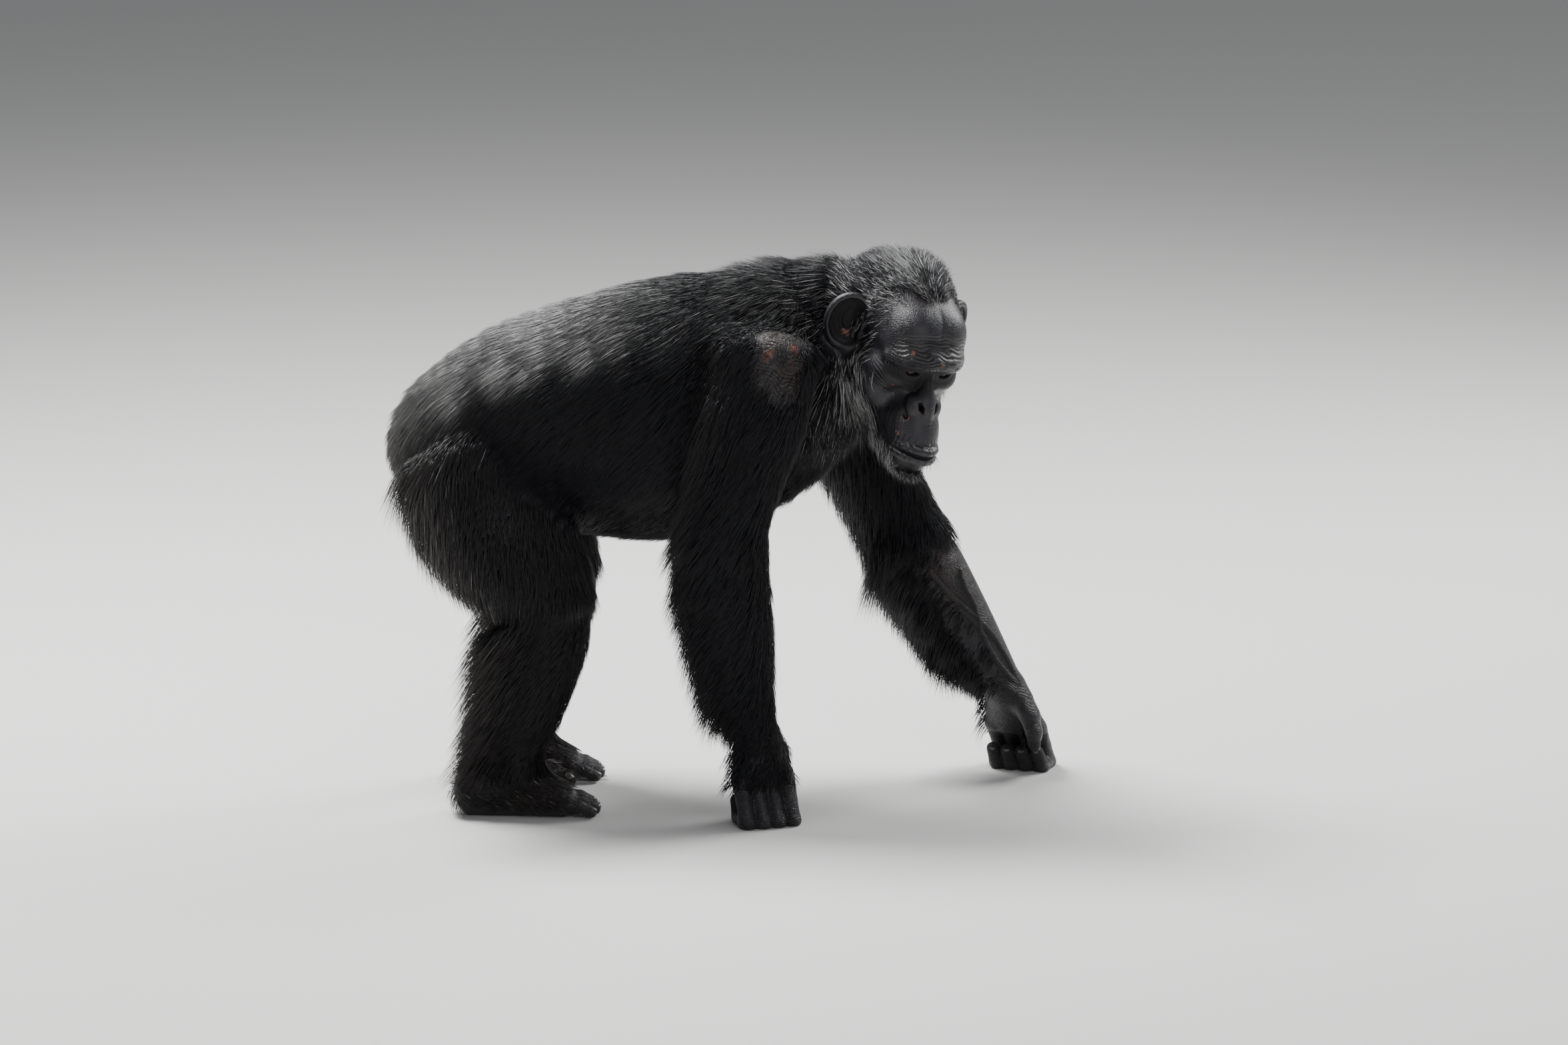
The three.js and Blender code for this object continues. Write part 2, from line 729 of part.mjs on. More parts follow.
const looks = {
  hair: { color: 0x17161a, roughness: 0.62, metalness: 0 },
  skin: { color: 0x2c2a2d, roughness: 0.55, metalness: 0 },
  eye: { color: 0x2a1608, roughness: 0.15, metalness: 0 },
};

const skinParts = ['ear_left', 'ear_right', 'hand_left', 'hand_right', 'foot_left', 'foot_right'];

function meshOf(piece, name, look) {
  const data = piece.getMesh();
  const geometry = new THREE.BufferGeometry();
  geometry.setAttribute('position', new THREE.BufferAttribute(data.vertProperties, 3));
  geometry.setIndex(new THREE.BufferAttribute(data.triVerts, 1));
  const mesh = new THREE.Mesh(geometry, new THREE.MeshStandardMaterial(look));
  mesh.name = name;
  return mesh;
}

const chimpanzee = new THREE.Group();
for (const [name, piece] of Object.entries(parts)) {
  chimpanzee.add(meshOf(piece, name, skinParts.includes(name) ? looks.skin : looks.hair));
}
for (const [name, side] of sides) {
  chimpanzee.add(meshOf(placed(makeEye(side, 0)), `eye_${name}`, looks.eye));
}
const reach = new THREE.Box3().setFromObject(chimpanzee);
chimpanzee.position.set(-0.5 * (reach.min.x + reach.max.x), -0.5 * (reach.min.y + reach.max.y), 0);
export default chimpanzee;
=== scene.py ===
# A chimpanzee walking on its soles and knuckles, its face turned to its right: a still, life-size
# model. The skin, coat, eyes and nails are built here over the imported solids, in the same frame.
import math

import bpy
import numpy as np
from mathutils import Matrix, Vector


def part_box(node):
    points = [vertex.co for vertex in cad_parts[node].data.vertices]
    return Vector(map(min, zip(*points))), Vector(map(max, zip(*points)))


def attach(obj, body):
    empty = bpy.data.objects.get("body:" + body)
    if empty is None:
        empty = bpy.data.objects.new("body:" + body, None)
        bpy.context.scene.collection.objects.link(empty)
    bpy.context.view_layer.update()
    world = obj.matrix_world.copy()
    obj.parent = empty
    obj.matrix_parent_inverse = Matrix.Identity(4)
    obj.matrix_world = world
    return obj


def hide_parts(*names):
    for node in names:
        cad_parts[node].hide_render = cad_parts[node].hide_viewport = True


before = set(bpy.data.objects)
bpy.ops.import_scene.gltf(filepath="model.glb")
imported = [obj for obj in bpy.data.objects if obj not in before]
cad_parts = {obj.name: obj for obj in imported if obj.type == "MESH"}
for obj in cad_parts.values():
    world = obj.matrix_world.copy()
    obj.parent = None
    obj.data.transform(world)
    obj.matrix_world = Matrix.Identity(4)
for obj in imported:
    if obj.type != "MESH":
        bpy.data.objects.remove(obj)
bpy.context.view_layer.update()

# Rings of each length of the body in mm: centre x, y, z, then half depth and half width
lengths = {
    "torso": [
        [-418, 0, 494, 58, 82], [-375, 0, 515, 94, 118], [-312, 0, 529, 124, 138], [-243, 0, 540, 147, 150],
        [-161, 0, 546, 166, 160], [-80, 0, 554, 176, 160], [0, 0, 574, 169, 146], [60, 0, 602, 149, 134],
        [104, 0, 624, 122, 114], [134, -3, 636, 92, 90],
    ],
    "neck": [
        [92, -2, 636, 104, 92], [134, -8, 650, 94, 66], [172, -24, 662, 92, 52], [208, -42, 668, 70, 48],
    ],
    "thighLeft": [
        [-356, 78, 500, 90, 74], [-322, 92, 440, 98, 70], [-288, 102, 385, 90, 62], [-256, 108, 342, 70, 53],
        [-240, 110, 312, 54, 46],
    ],
    "shinLeft": [
        [-238, 110, 320, 50, 45], [-250, 109, 262, 58, 46], [-264, 108, 205, 55, 42],
        [-276, 106, 150, 46, 35], [-290, 104, 105, 38, 29], [-298, 103, 60, 39, 28],
    ],
    "footLeft": [
        [-362, 103, 29, 31, 26], [-332, 103, 36, 38, 31], [-292, 102, 37, 40, 34], [-254, 101, 27, 30, 38],
        [-226, 100, 19, 22, 40],
    ],
    "upperArmRight": [
        [58, -132, 658, 68, 50], [48, -147, 594, 66, 50], [30, -155, 524, 57, 45], [12, -160, 459, 51, 42],
        [0, -161, 402, 49, 41],
    ],
    "forearmRight": [
        [1, -161, 404, 47, 41], [6, -159, 354, 49, 42], [14, -154, 293, 45, 39], [22, -149, 232, 39, 34],
        [30, -144, 171, 32, 30], [43, -140, 116, 27, 30],
    ],
    "upperArmLeft": [
        [118, 120, 608, 72, 50], [160, 132, 531, 62, 48], [200, 141, 456, 54, 45], [236, 147, 386, 51, 43],
        [258, 149, 341, 50, 42],
    ],
    "forearmLeft": [
        [256, 149, 344, 49, 42], [284, 149, 299, 51, 43], [312, 148, 254, 47, 40], [342, 147, 206, 41, 36],
        [372, 146, 157, 34, 31], [400, 145, 112, 27, 30],
    ],
}
for part in ("thigh", "shin", "foot"):
    lengths[part + "Right"] = [[x, -y, z, depth, width] for x, y, z, depth, width in lengths[part + "Left"]]

headPlace = {"at": (239, -58, 663), "turn": 64, "nod": 29, "tilt": -10}
eyeSettings = {"at": (76, 25, 9), "radius": 12}


def rotation(axis, degrees):
    a = math.radians(degrees)
    c, s = math.cos(a), math.sin(a)
    turns = {
        "x": [[1, 0, 0], [0, c, -s], [0, s, c]],
        "y": [[c, 0, s], [0, 1, 0], [-s, 0, c]],
        "z": [[c, -s, 0], [s, c, 0], [0, 0, 1]],
    }
    return np.array(turns[axis], float)


headTurn = rotation("z", -headPlace["turn"]) @ rotation("y", headPlace["nod"])
headTurn = headTurn @ rotation("x", headPlace["tilt"])
headAt = np.array(headPlace["at"], float)


def fromHead(points):
    return np.asarray(points, float) @ headTurn.T + headAt


def toHead(points):
    return (np.asarray(points, float) - headAt) @ headTurn


# The solids are centred on their own box, so the shift is read off the left eye
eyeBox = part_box("eye_left")
eyeMiddle = np.array([(a + b) / 2 for a, b in zip(*eyeBox)])
shift = eyeMiddle - fromHead(eyeSettings["at"]) * 0.001
shift[2] = 0.0


def toWorld(points):
    return np.asarray(points) * 0.001 + shift


def unit(v):
    return v / np.maximum(np.linalg.norm(v, axis=-1, keepdims=True), 1e-9)


def smoothMin(a, b, k):
    h = np.clip(0.5 + 0.5 * (b - a) / k, 0, 1)
    return b * (1 - h) + a * h - k * h * (1 - h)


def smoothMax(a, b, k):
    return -smoothMin(-a, -b, k)


# Distances in mm, worked out only near each form; further off they count as far away
farAway = 60.0


def nearBox(p, low, high, pad=30):
    return np.flatnonzero(((p > np.array(low) - pad) & (p < np.array(high) + pad)).all(1))


def ellipsoid(p, centre, radii, turn=(0, 0, 0)):
    value = np.full(len(p), farAway)
    centre, r = np.array(centre, float), np.array(radii, float)
    near = nearBox(p, centre - r.max(), centre + r.max())
    q = p[near] - centre
    if any(turn):
        q = q @ (rotation("z", turn[2]) @ rotation("y", turn[1]) @ rotation("x", turn[0]))
    depth = np.linalg.norm(q / r, axis=1)
    steep = np.linalg.norm(q / (r * r), axis=1)
    value[near] = depth * (depth - 1) / np.maximum(steep, 1e-6)
    return value


def rod(p, points, radii, k=0):
    value = np.full(len(p), farAway)
    points = np.array(points, float)
    near = nearBox(p, points.min(0) - max(radii), points.max(0) + max(radii))
    q = p[near]
    best = np.full(len(q), farAway)
    for a, b, ra, rb in zip(points[:-1], points[1:], radii[:-1], radii[1:]):
        t = np.clip(((q - a) @ (b - a)) / ((b - a) @ (b - a)), 0, 1)
        away = np.linalg.norm(q - a - t[:, None] * (b - a), axis=1) - (ra + (rb - ra) * t)
        best = smoothMin(best, away, k) if k else np.minimum(best, away)
    value[near] = best
    return value


# Adds each form to a field with its own softness, or cuts it out where the softness is negative
def blend(p, value, *forms):
    for shape, *sizes, softness in forms:
        form = shape(p, *sizes)
        value = smoothMin(value, form, softness) if softness > 0 else smoothMax(value, -form, -softness)
    return value


# Rings between the given ones, on a curve that passes through all of them
def refine(rings, times=3):
    rings = np.array(rings, float)
    padded = np.vstack([2 * rings[0] - rings[1], rings, 2 * rings[-1] - rings[-2]])
    out = []
    for a, b, c, d in zip(padded[:-3], padded[1:-2], padded[2:-1], padded[3:]):
        for s in np.arange(times) / times:
            out.append(0.5 * (2 * b + (c - a) * s + (2 * a - 5 * b + 4 * c - d) * s**2
                              + (3 * b - a - 3 * c + d) * s**3))
    return np.array(out + [rings[-1]])


def makeChain(rings):
    stations = refine(rings)
    centre = stations[:, :3]
    along = unit(np.gradient(centre, axis=0))
    side = unit(np.array([0, 1.0, 0]) - along * along[:, 1:2])
    depth = np.cross(side, along)
    return {"centre": centre, "along": along, "side": side, "depth": depth, "half": stations[:, 3:]}


chains = {name: makeChain(rings) for name, rings in lengths.items()}


def segmentField(p, chain, i):
    a, b = chain["centre"][i], chain["centre"][i + 1]
    t = np.clip(((p - a) @ (b - a)) / ((b - a) @ (b - a)), 0, 1)
    off = p - a - t[..., None] * (b - a)
    along = unit(b - a)
    side = unit(chain["side"][i] + chain["side"][i + 1])
    depth = unit(chain["depth"][i] + chain["depth"][i + 1])
    halfDepth = chain["half"][i, 0] + t * (chain["half"][i + 1, 0] - chain["half"][i, 0])
    halfWidth = chain["half"][i, 1] + t * (chain["half"][i + 1, 1] - chain["half"][i, 1])
    halfAlong = 0.65 * np.minimum(halfDepth, halfWidth)
    s, d, l = off @ side, off @ depth, off @ along
    near = np.sqrt((s / halfWidth) ** 2 + (d / halfDepth) ** 2 + (l / halfAlong) ** 2)
    steep = np.sqrt((s / halfWidth**2) ** 2 + (d / halfDepth**2) ** 2 + (l / halfAlong**2) ** 2)
    return near * (near - 1) / np.maximum(steep, 1e-6), t, np.arctan2(-d, s)


# Each part of a length, with the points near it
def nearParts(p, chain, reach):
    for i in range(len(chain["centre"]) - 1):
        ends = chain["centre"][i:i + 2]
        near = nearBox(p, ends.min(0), ends.max(0), chain["half"][i:i + 2].max() + reach)
        yield i, near, segmentField(p[near], chain, i)


def chainField(p, chain):
    value = np.full(len(p), farAway)
    for _, near, part in nearParts(p, chain, 40):
        value[near] = np.minimum(value[near], part[0])
    return value


def bodyField(p, names=None, k=18):
    value = np.full(len(p), farAway)
    for name in names or chains:
        value = smoothMin(value, chainField(p, chains[name]), k)
    return value


# The nearest length to each point: its name's number, how far along it and how far round
def nearestLength(p):
    best = np.full(len(p), 1e3)
    which, where, angle = np.zeros(len(p), int), np.zeros(len(p)), np.zeros(len(p))
    for number, chain in enumerate(chains.values()):
        last = len(chain["centre"]) - 1
        for i, near, (value, t, turn) in nearParts(p, chain, 60):
            closer = value < best[near]
            near, t = near[closer], t[closer]
            best[near], which[near], angle[near] = value[closer], number, turn[closer]
            where[near] = (i + t) / last
    return which, where, angle


def outsideBox(p, low, high):
    return np.maximum(np.array(low) - p, p - np.array(high)).max(1)


# A grid of distances, worked out finely only where a coarse look says that the surface is near
def sampleField(field, low, high, step, coarse=5):
    low = np.array(low, float)
    blocks = np.ceil((np.array(high) - low) / (step * coarse)).astype(int)
    shape = blocks * coarse + 1
    middles = np.stack(np.meshgrid(*[np.arange(n) for n in blocks], indexing="ij"), -1).reshape(-1, 3)
    rough = field(low + (middles + 0.5) * step * coarse)
    values = np.full(shape, farAway)
    values[:-1, :-1, :-1] = np.kron(rough.reshape(blocks), np.ones((coarse,) * 3))
    marked = middles[np.abs(rough) < step * coarse * 1.3]
    offsets = np.stack(np.meshgrid(*[np.arange(coarse + 1)] * 3, indexing="ij"), -1).reshape(-1, 3)
    wanted = np.zeros(shape, bool)
    index = (marked[:, None, :] * coarse + offsets[None]).reshape(-1, 3)
    wanted[index[:, 0], index[:, 1], index[:, 2]] = True
    fine = np.argwhere(wanted)
    values[wanted] = field(low + fine * step)
    return {"low": low, "step": step, "values": values}


# A net of quads through the places where the field is nought, one point in each cell it crosses
def surfaceNet(grid):
    values = grid["values"]
    inside = values < 0
    cellSizes = np.array(values.shape) - 1
    cellIds, crossings, faces = [], [], []
    for axis in range(3):
        u, v = [(1, 2), (2, 0), (0, 1)][axis]
        low, high = (tuple(part if i == axis else slice(None) for i in range(3))
                     for part in (slice(0, -1), slice(1, None)))
        changes = inside[low] != inside[high]
        index = np.argwhere(changes)
        a, b = values[low][changes], values[high][changes]
        crossing = index.astype(float)
        crossing[:, axis] += a / (a - b)
        ids = []
        for du, dv in ((1, 1), (0, 1), (0, 0), (1, 0)):
            cell = index.copy()
            cell[:, u] -= du
            cell[:, v] -= dv
            good = ((cell >= 0) & (cell < cellSizes)).all(1)
            flat = np.where(good, (cell[:, 0] * cellSizes[1] + cell[:, 1]) * cellSizes[2] + cell[:, 2], -1)
            ids.append(flat)
            cellIds.append(flat[good])
            crossings.append(crossing[good])
        quad = np.stack(ids, 1)
        quad = np.where((a < 0)[:, None], quad, quad[:, ::-1])
        faces.append(quad[(quad >= 0).all(1)])
    cellIds, crossings, faces = np.concatenate(cellIds), np.concatenate(crossings), np.concatenate(faces)
    used, inverse = np.unique(cellIds, return_inverse=True)
    count = np.bincount(inverse)
    points = np.stack([np.bincount(inverse, part) / count for part in crossings.T], 1)
    return points * grid["step"] + grid["low"], np.searchsorted(used, faces)


def vertexNormals(points, quads):
    corners = points[quads]
    across = np.cross(corners[:, 2] - corners[:, 0], corners[:, 3] - corners[:, 1])
    corner = quads.ravel()
    return unit(np.stack([np.bincount(corner, np.repeat(part, 4), len(points)) for part in across.T], 1))


# Evens values out over the net: each pass takes every point half way to the mean of its neighbours
def spread(values, quads, count, passes):
    values = np.array(values, float)
    a = quads.ravel()
    b = np.roll(quads, 1, 1).ravel()
    share = np.bincount(a, minlength=count) + np.bincount(b, minlength=count)
    flat = values.reshape(count, -1)
    for _ in range(passes):
        total = np.stack([np.bincount(a, col[b], count) + np.bincount(b, col[a], count) for col in flat.T], 1)
        flat = 0.5 * flat + 0.5 * total / share[:, None]
    return flat.reshape(values.shape)


# From 0 at the low end to 1 at the high end, with soft bends
def ramp(low, high, x):
    t = np.clip((x - low) / (high - low), 0, 1)
    return t * t * (3 - 2 * t)


def fall(low, high, x):
    return 1 - ramp(low, high, x)


# A soft pattern made of a few waves, from -1 to 1, that never repeats within the model
def waves(p, size, seed):
    draws = np.random.default_rng(seed)
    total = np.zeros(len(p))
    for _ in range(6):
        direction = unit(draws.normal(size=3)) / size * draws.uniform(0.7, 1.5)
        total += np.sin(p @ direction * 2 * math.pi + draws.uniform(0, 6.3))
    return np.clip(total / 3.2, -1, 1)


# Materials: skin wrinkles and folds are shader groups, used with each material's own values
def newGroup(name, inputs, outputs):
    group = bpy.data.node_groups.new(name, "ShaderNodeTree")
    for label, value in inputs.items():
        kind = "NodeSocketVector" if isinstance(value, tuple) else "NodeSocketFloat"
        group.interface.new_socket(label, in_out="INPUT", socket_type=kind).default_value = value
    for label in outputs:
        group.interface.new_socket(label, in_out="OUTPUT", socket_type="NodeSocketFloat")
    return group, group.nodes.new("NodeGroupInput").outputs, group.nodes.new("NodeGroupOutput").inputs


# Each socket takes either a value or the output of another node
def setSockets(tree, inputs, sockets):
    for key, value in sockets.items():
        if isinstance(value, bpy.types.NodeSocket):
            tree.links.new(value, inputs[key])
        else:
            inputs[key].default_value = value


def addNode(tree, kind, sockets, **settings):
    node = tree.nodes.new("ShaderNode" + kind)
    for key, value in settings.items():
        setattr(node, key, value)
    setSockets(tree, node.inputs, sockets)
    return node.outputs


def addNoise(tree, place, scale, detail, **more):
    return addNode(tree, "TexNoise", {"Vector": place, "Scale": scale, "Detail": detail, **more})


def objectPlace(tree):
    return addNode(tree, "TexCoord", {})["Object"]


# Creases between cells, pores, and a slow mottle for the colour and the shine
def makeWrinkleGroup():
    sizes = {"Crease Size": 220.0, "Pore Size": 900.0, "Crease Depth": 0.6, "Stretch": (1.0, 1.0, 1.0)}
    group, given, result = newGroup("skinWrinkles", sizes, ["Height", "Mottle"])
    place = objectPlace(group)
    stretched = addNode(group, "VectorMath", {0: place, 1: given["Stretch"]}, operation="MULTIPLY")[0]
    warp = addNoise(group, place, 60.0, 2.0)["Color"]
    bent = addNode(group, "VectorMath", {0: warp, 1: (0.006,) * 3, 2: stretched}, operation="MULTIPLY_ADD")[0]
    cells = addNode(group, "TexVoronoi", {"Vector": bent, "Scale": given["Crease Size"]},
                    feature="DISTANCE_TO_EDGE")["Distance"]
    soft = addNode(group, "MapRange", {"Value": cells, "From Min": 0.0, "From Max": 0.16},
                   interpolation_type="SMOOTHSTEP")["Result"]
    pores = addNoise(group, place, given["Pore Size"], 3.0, Roughness=0.6)["Fac"]
    deep = addNode(group, "Math", {0: soft, 1: given["Crease Depth"]}, operation="MULTIPLY")[0]
    height = addNode(group, "Math", {0: pores, 1: 0.4, 2: deep}, operation="MULTIPLY_ADD")[0]
    mottle = addNoise(group, place, 28.0, 5.0, Roughness=0.65)["Fac"]
    setSockets(group, result, {"Height": height, "Mottle": mottle})
    return group


# Fine folds follow a phase worked out on the skin: each is a dent in the bump and, in its valley, a dark line
# of painted shade
def makeFoldGroup():
    group, given, result = newGroup("skinFolds", {"Depth": 0.0, "Phase": 0.0}, ["Height", "Line"])
    wave = addNode(group, "Math", {0: given["Phase"]}, operation="SINE")[0]
    valleyShade = addNode(group, "MapRange", {"Value": wave, "From Min": -0.1, "From Max": -1.0},
                     interpolation_type="SMOOTHSTEP")["Result"]
    for label, part in (("Height", wave), ("Line", valleyShade)):
        scaled = addNode(group, "Math", {0: part, 1: given["Depth"]}, operation="MULTIPLY")[0]
        group.links.new(scaled, result[label])
    return group


wrinkleGroup, foldGroup = makeWrinkleGroup(), makeFoldGroup()


def newMaterial(name, constants):
    material = bpy.data.materials.new(name)
    material.use_nodes = True
    shader = material.node_tree.nodes["Principled BSDF"].inputs
    setSockets(material.node_tree, shader, constants)
    return material, material.node_tree, shader


def readAttribute(tree, name):
    return addNode(tree, "Attribute", {}, attribute_name=name)["Fac"]


def mixColour(tree, factor, first, second):
    return addNode(tree, "Mix", {0: factor, 6: first, 7: second}, data_type="RGBA")[2]


def addBump(tree, height, strength, distance, **under):
    sockets = {"Height": height, "Strength": strength, "Distance": distance, **under}
    return addNode(tree, "Bump", sockets)["Normal"]


# Skin colours; black is laid on only as painted shade
skinSettings = {
    "dark": (0.0040, 0.0039, 0.0056, 1), "light": (0.0128, 0.0118, 0.0198, 1),
    "brown": (0.034, 0.017, 0.012, 1), "ruddy": (0.21, 0.066, 0.036, 1),
    "grey": (0.050, 0.050, 0.062, 1), "black": (0.0009, 0.0009, 0.0011, 1),
    "shine": {"Specular IOR Level": 0.5, "Coat Weight": 0.06, "Coat Roughness": 0.35}, "foldDepth": 0.0011,
}


def makeSkinMaterial(name, creaseSize, creaseDepth, stretch, relief):
    material, tree, shader = newMaterial(name, skinSettings["shine"])
    mark = {key: readAttribute(tree, key) for key in ("fold", "phase", "warm", "frostAndSheen", "shade", "ruddy")}
    sizes = {"Crease Size": creaseSize, "Crease Depth": creaseDepth, "Stretch": stretch}
    wrinkles = addNode(tree, "Group", sizes, node_tree=wrinkleGroup)
    folds = addNode(tree, "Group", {"Depth": mark["fold"], "Phase": mark["phase"]}, node_tree=foldGroup)
    mottle = wrinkles["Mottle"]
    spotty = addNode(tree, "MapRange", {"Value": mottle, "From Min": 0.35, "From Max": 0.72})["Result"]
    colour = mixColour(tree, spotty, skinSettings["dark"], skinSettings["light"])
    # Brown, grey and ruddy are marks of the skin itself; black is painted shade, in the fold valleys and
    # wherever the shade attribute is set
    for amount, key in ((mark["warm"], "brown"), (mark["frostAndSheen"], "grey"), (folds["Line"], "black"),
                        (mark["shade"], "black"), (mark["ruddy"], "ruddy")):
        colour = mixColour(tree, amount, colour, skinSettings[key])
    span = {"From Min": 0.3, "From Max": 0.75, "To Min": 0.35, "To Max": 0.49}
    rough = addNode(tree, "MapRange", {"Value": mottle, **span})["Result"]
    dull = addNode(tree, "Math", {0: mark["shade"], 1: 0.5, 2: rough},
                   operation="MULTIPLY_ADD", use_clamp=True)[0]
    folded = addBump(tree, folds["Height"], 1.0, skinSettings["foldDepth"])
    bump = addBump(tree, wrinkles["Height"], 0.9, relief, Normal=folded)
    setSockets(tree, shader, {"Base Color": colour, "Roughness": dull, "Normal": bump})
    return material


coatSettings = {
    "black": (0.0017, 0.0017, 0.0026, 1), "sheen": (0.0060, 0.0066, 0.0108, 1),
    "brown": (0.030, 0.020, 0.013, 1), "silverAndSheen": (0.78, 0.78, 0.77, 1),
}


def makeCoatMaterial():
    material, tree, shader = newMaterial("coatHair", {"Specular IOR Level": 0.3})
    tone = readAttribute(tree, "tone")
    colour = mixColour(tree, tone, coatSettings["black"], coatSettings["sheen"])
    colour = mixColour(tree, readAttribute(tree, "warm"), colour, coatSettings["brown"])
    # The frost mix is grey hair, and along the back it is also a painted sheen
    colour = mixColour(tree, readAttribute(tree, "frostAndSheen"), colour, coatSettings["silverAndSheen"])
    rough = addNode(tree, "MapRange", {"Value": tone, "To Min": 0.34, "To Max": 0.5})["Result"]
    bump = addBump(tree, addNoise(tree, objectPlace(tree), 900.0, 2.0)["Fac"], 0.15, 0.0004)
    setSockets(tree, shader, {"Base Color": colour, "Roughness": rough, "Normal": bump})
    return material


def buildMesh(name, points, faceGroups, material, attributes=None):
    mesh = bpy.data.meshes.new(name)
    totals = np.concatenate([np.full(len(f), f.shape[1]) for f in faceGroups])
    loops = np.concatenate([f.ravel() for f in faceGroups]).astype(np.int32)
    mesh.vertices.add(len(points))
    mesh.vertices.foreach_set("co", np.asarray(points, np.float32).ravel())
    mesh.loops.add(len(loops))
    mesh.loops.foreach_set("vertex_index", loops)
    mesh.polygons.add(len(totals))
    mesh.polygons.foreach_set("loop_start", (np.cumsum(totals) - totals).astype(np.int32))
    mesh.polygons.foreach_set("use_smooth", np.ones(len(totals), bool))
    mesh.update(calc_edges=True)
    mesh.validate()
    for key, values in (attributes or {}).items():
        mesh.attributes.new(key, "FLOAT", "POINT").data.foreach_set("value", np.asarray(values, np.float32))
    piece = bpy.data.objects.new(name, mesh)
    bpy.context.scene.collection.objects.link(piece)
    mesh.materials.append(material)
    return piece


# Fields of the head, in its own frame in mm: x out of the face, y to its left, z to the crown. Each ear
# has a frame of its own: out of the head, to the front and up
earSettings = {"root": (0, 62, 13), "reach": 27, "tall": 42, "wide": 33, "thick": 15, "sweep": 30, "lean": 10}


def earPoints(p, side):
    sweep, lean = math.radians(earSettings["sweep"]), math.radians(earSettings["lean"])
    out = np.array([-math.sin(sweep), side * math.cos(sweep), 0])
    tall = unit(np.array([-math.sin(lean), 0, math.cos(lean)]) - 0.1 * out)
    front = unit(np.cross(out, tall) * side)
    root = np.array([earSettings["root"][0], side * earSettings["root"][1], earSettings["root"][2]], float)
    return (p - root) @ np.stack([out, front, tall], 1)


def earField(p, side):
    q = earPoints(p, side)
    reach, wide, tall, thick = (earSettings[key] for key in ("reach", "wide", "tall", "thick"))
    rim = [(reach - 1 + (wide - 3) * math.cos(a), 0.5, 2 + (tall - 3) * math.sin(a))
           for a in np.radians(np.arange(-118, 196, 12))]
    fold = [(reach - 4 + 15 * math.cos(a), -7.5, 4 + 20 * math.sin(a))
            for a in np.radians(np.arange(-100, 60, 16))]
    return blend(q, ellipsoid(q, (reach, -3, 2), (wide, thick, tall)),
                 (ellipsoid, (reach * 0.42, -2, -tall * 0.66), (wide * 0.44, 8, 14), 8),
                 (ellipsoid, (reach - 2, thick * 0.6, 3), (wide * 0.86, thick * 1.33, tall * 0.87), -2.5),
                 (rod, rim, [2.2] + [3.3] * (len(rim) - 2) + [2.2], 2), (rod, fold, [2.4] * len(fold), 4),
                 (ellipsoid, (4, 4, -8), (6.5, 5, 8), 4), (ellipsoid, (14, -3, -3), (10, 11, 13), -3))


# How deep a place lies in the cup of its ear, from 0 on the rim to 1
def earDepth(p):
    depth = np.zeros(len(p))
    for side in (-1, 1):
        q = earPoints(p, side)
        reach, wide, tall = (earSettings[key] for key in ("reach", "wide", "tall"))
        inside = fall(0.74, 0.94, np.hypot((q[:, 0] - reach + 2) / wide, (q[:, 2] - 3) / tall))
        depth = np.maximum(depth, inside * ramp(-16, -12, q[:, 1]) * fall(-3.5, 1.0, q[:, 1]))
    return depth


# The line of the mouth from one corner to the other, moved out of the face and down from it
mouthSteps = np.linspace(-1, 1, 17)


def mouthArc(out, drop):
    wide = 34.8 + out * 0.4
    return [(106 + out + 59 * math.cos(s * 1.2), wide * math.sin(s * 1.2), drop - 77 - 11 * s * s)
            for s in mouthSteps]


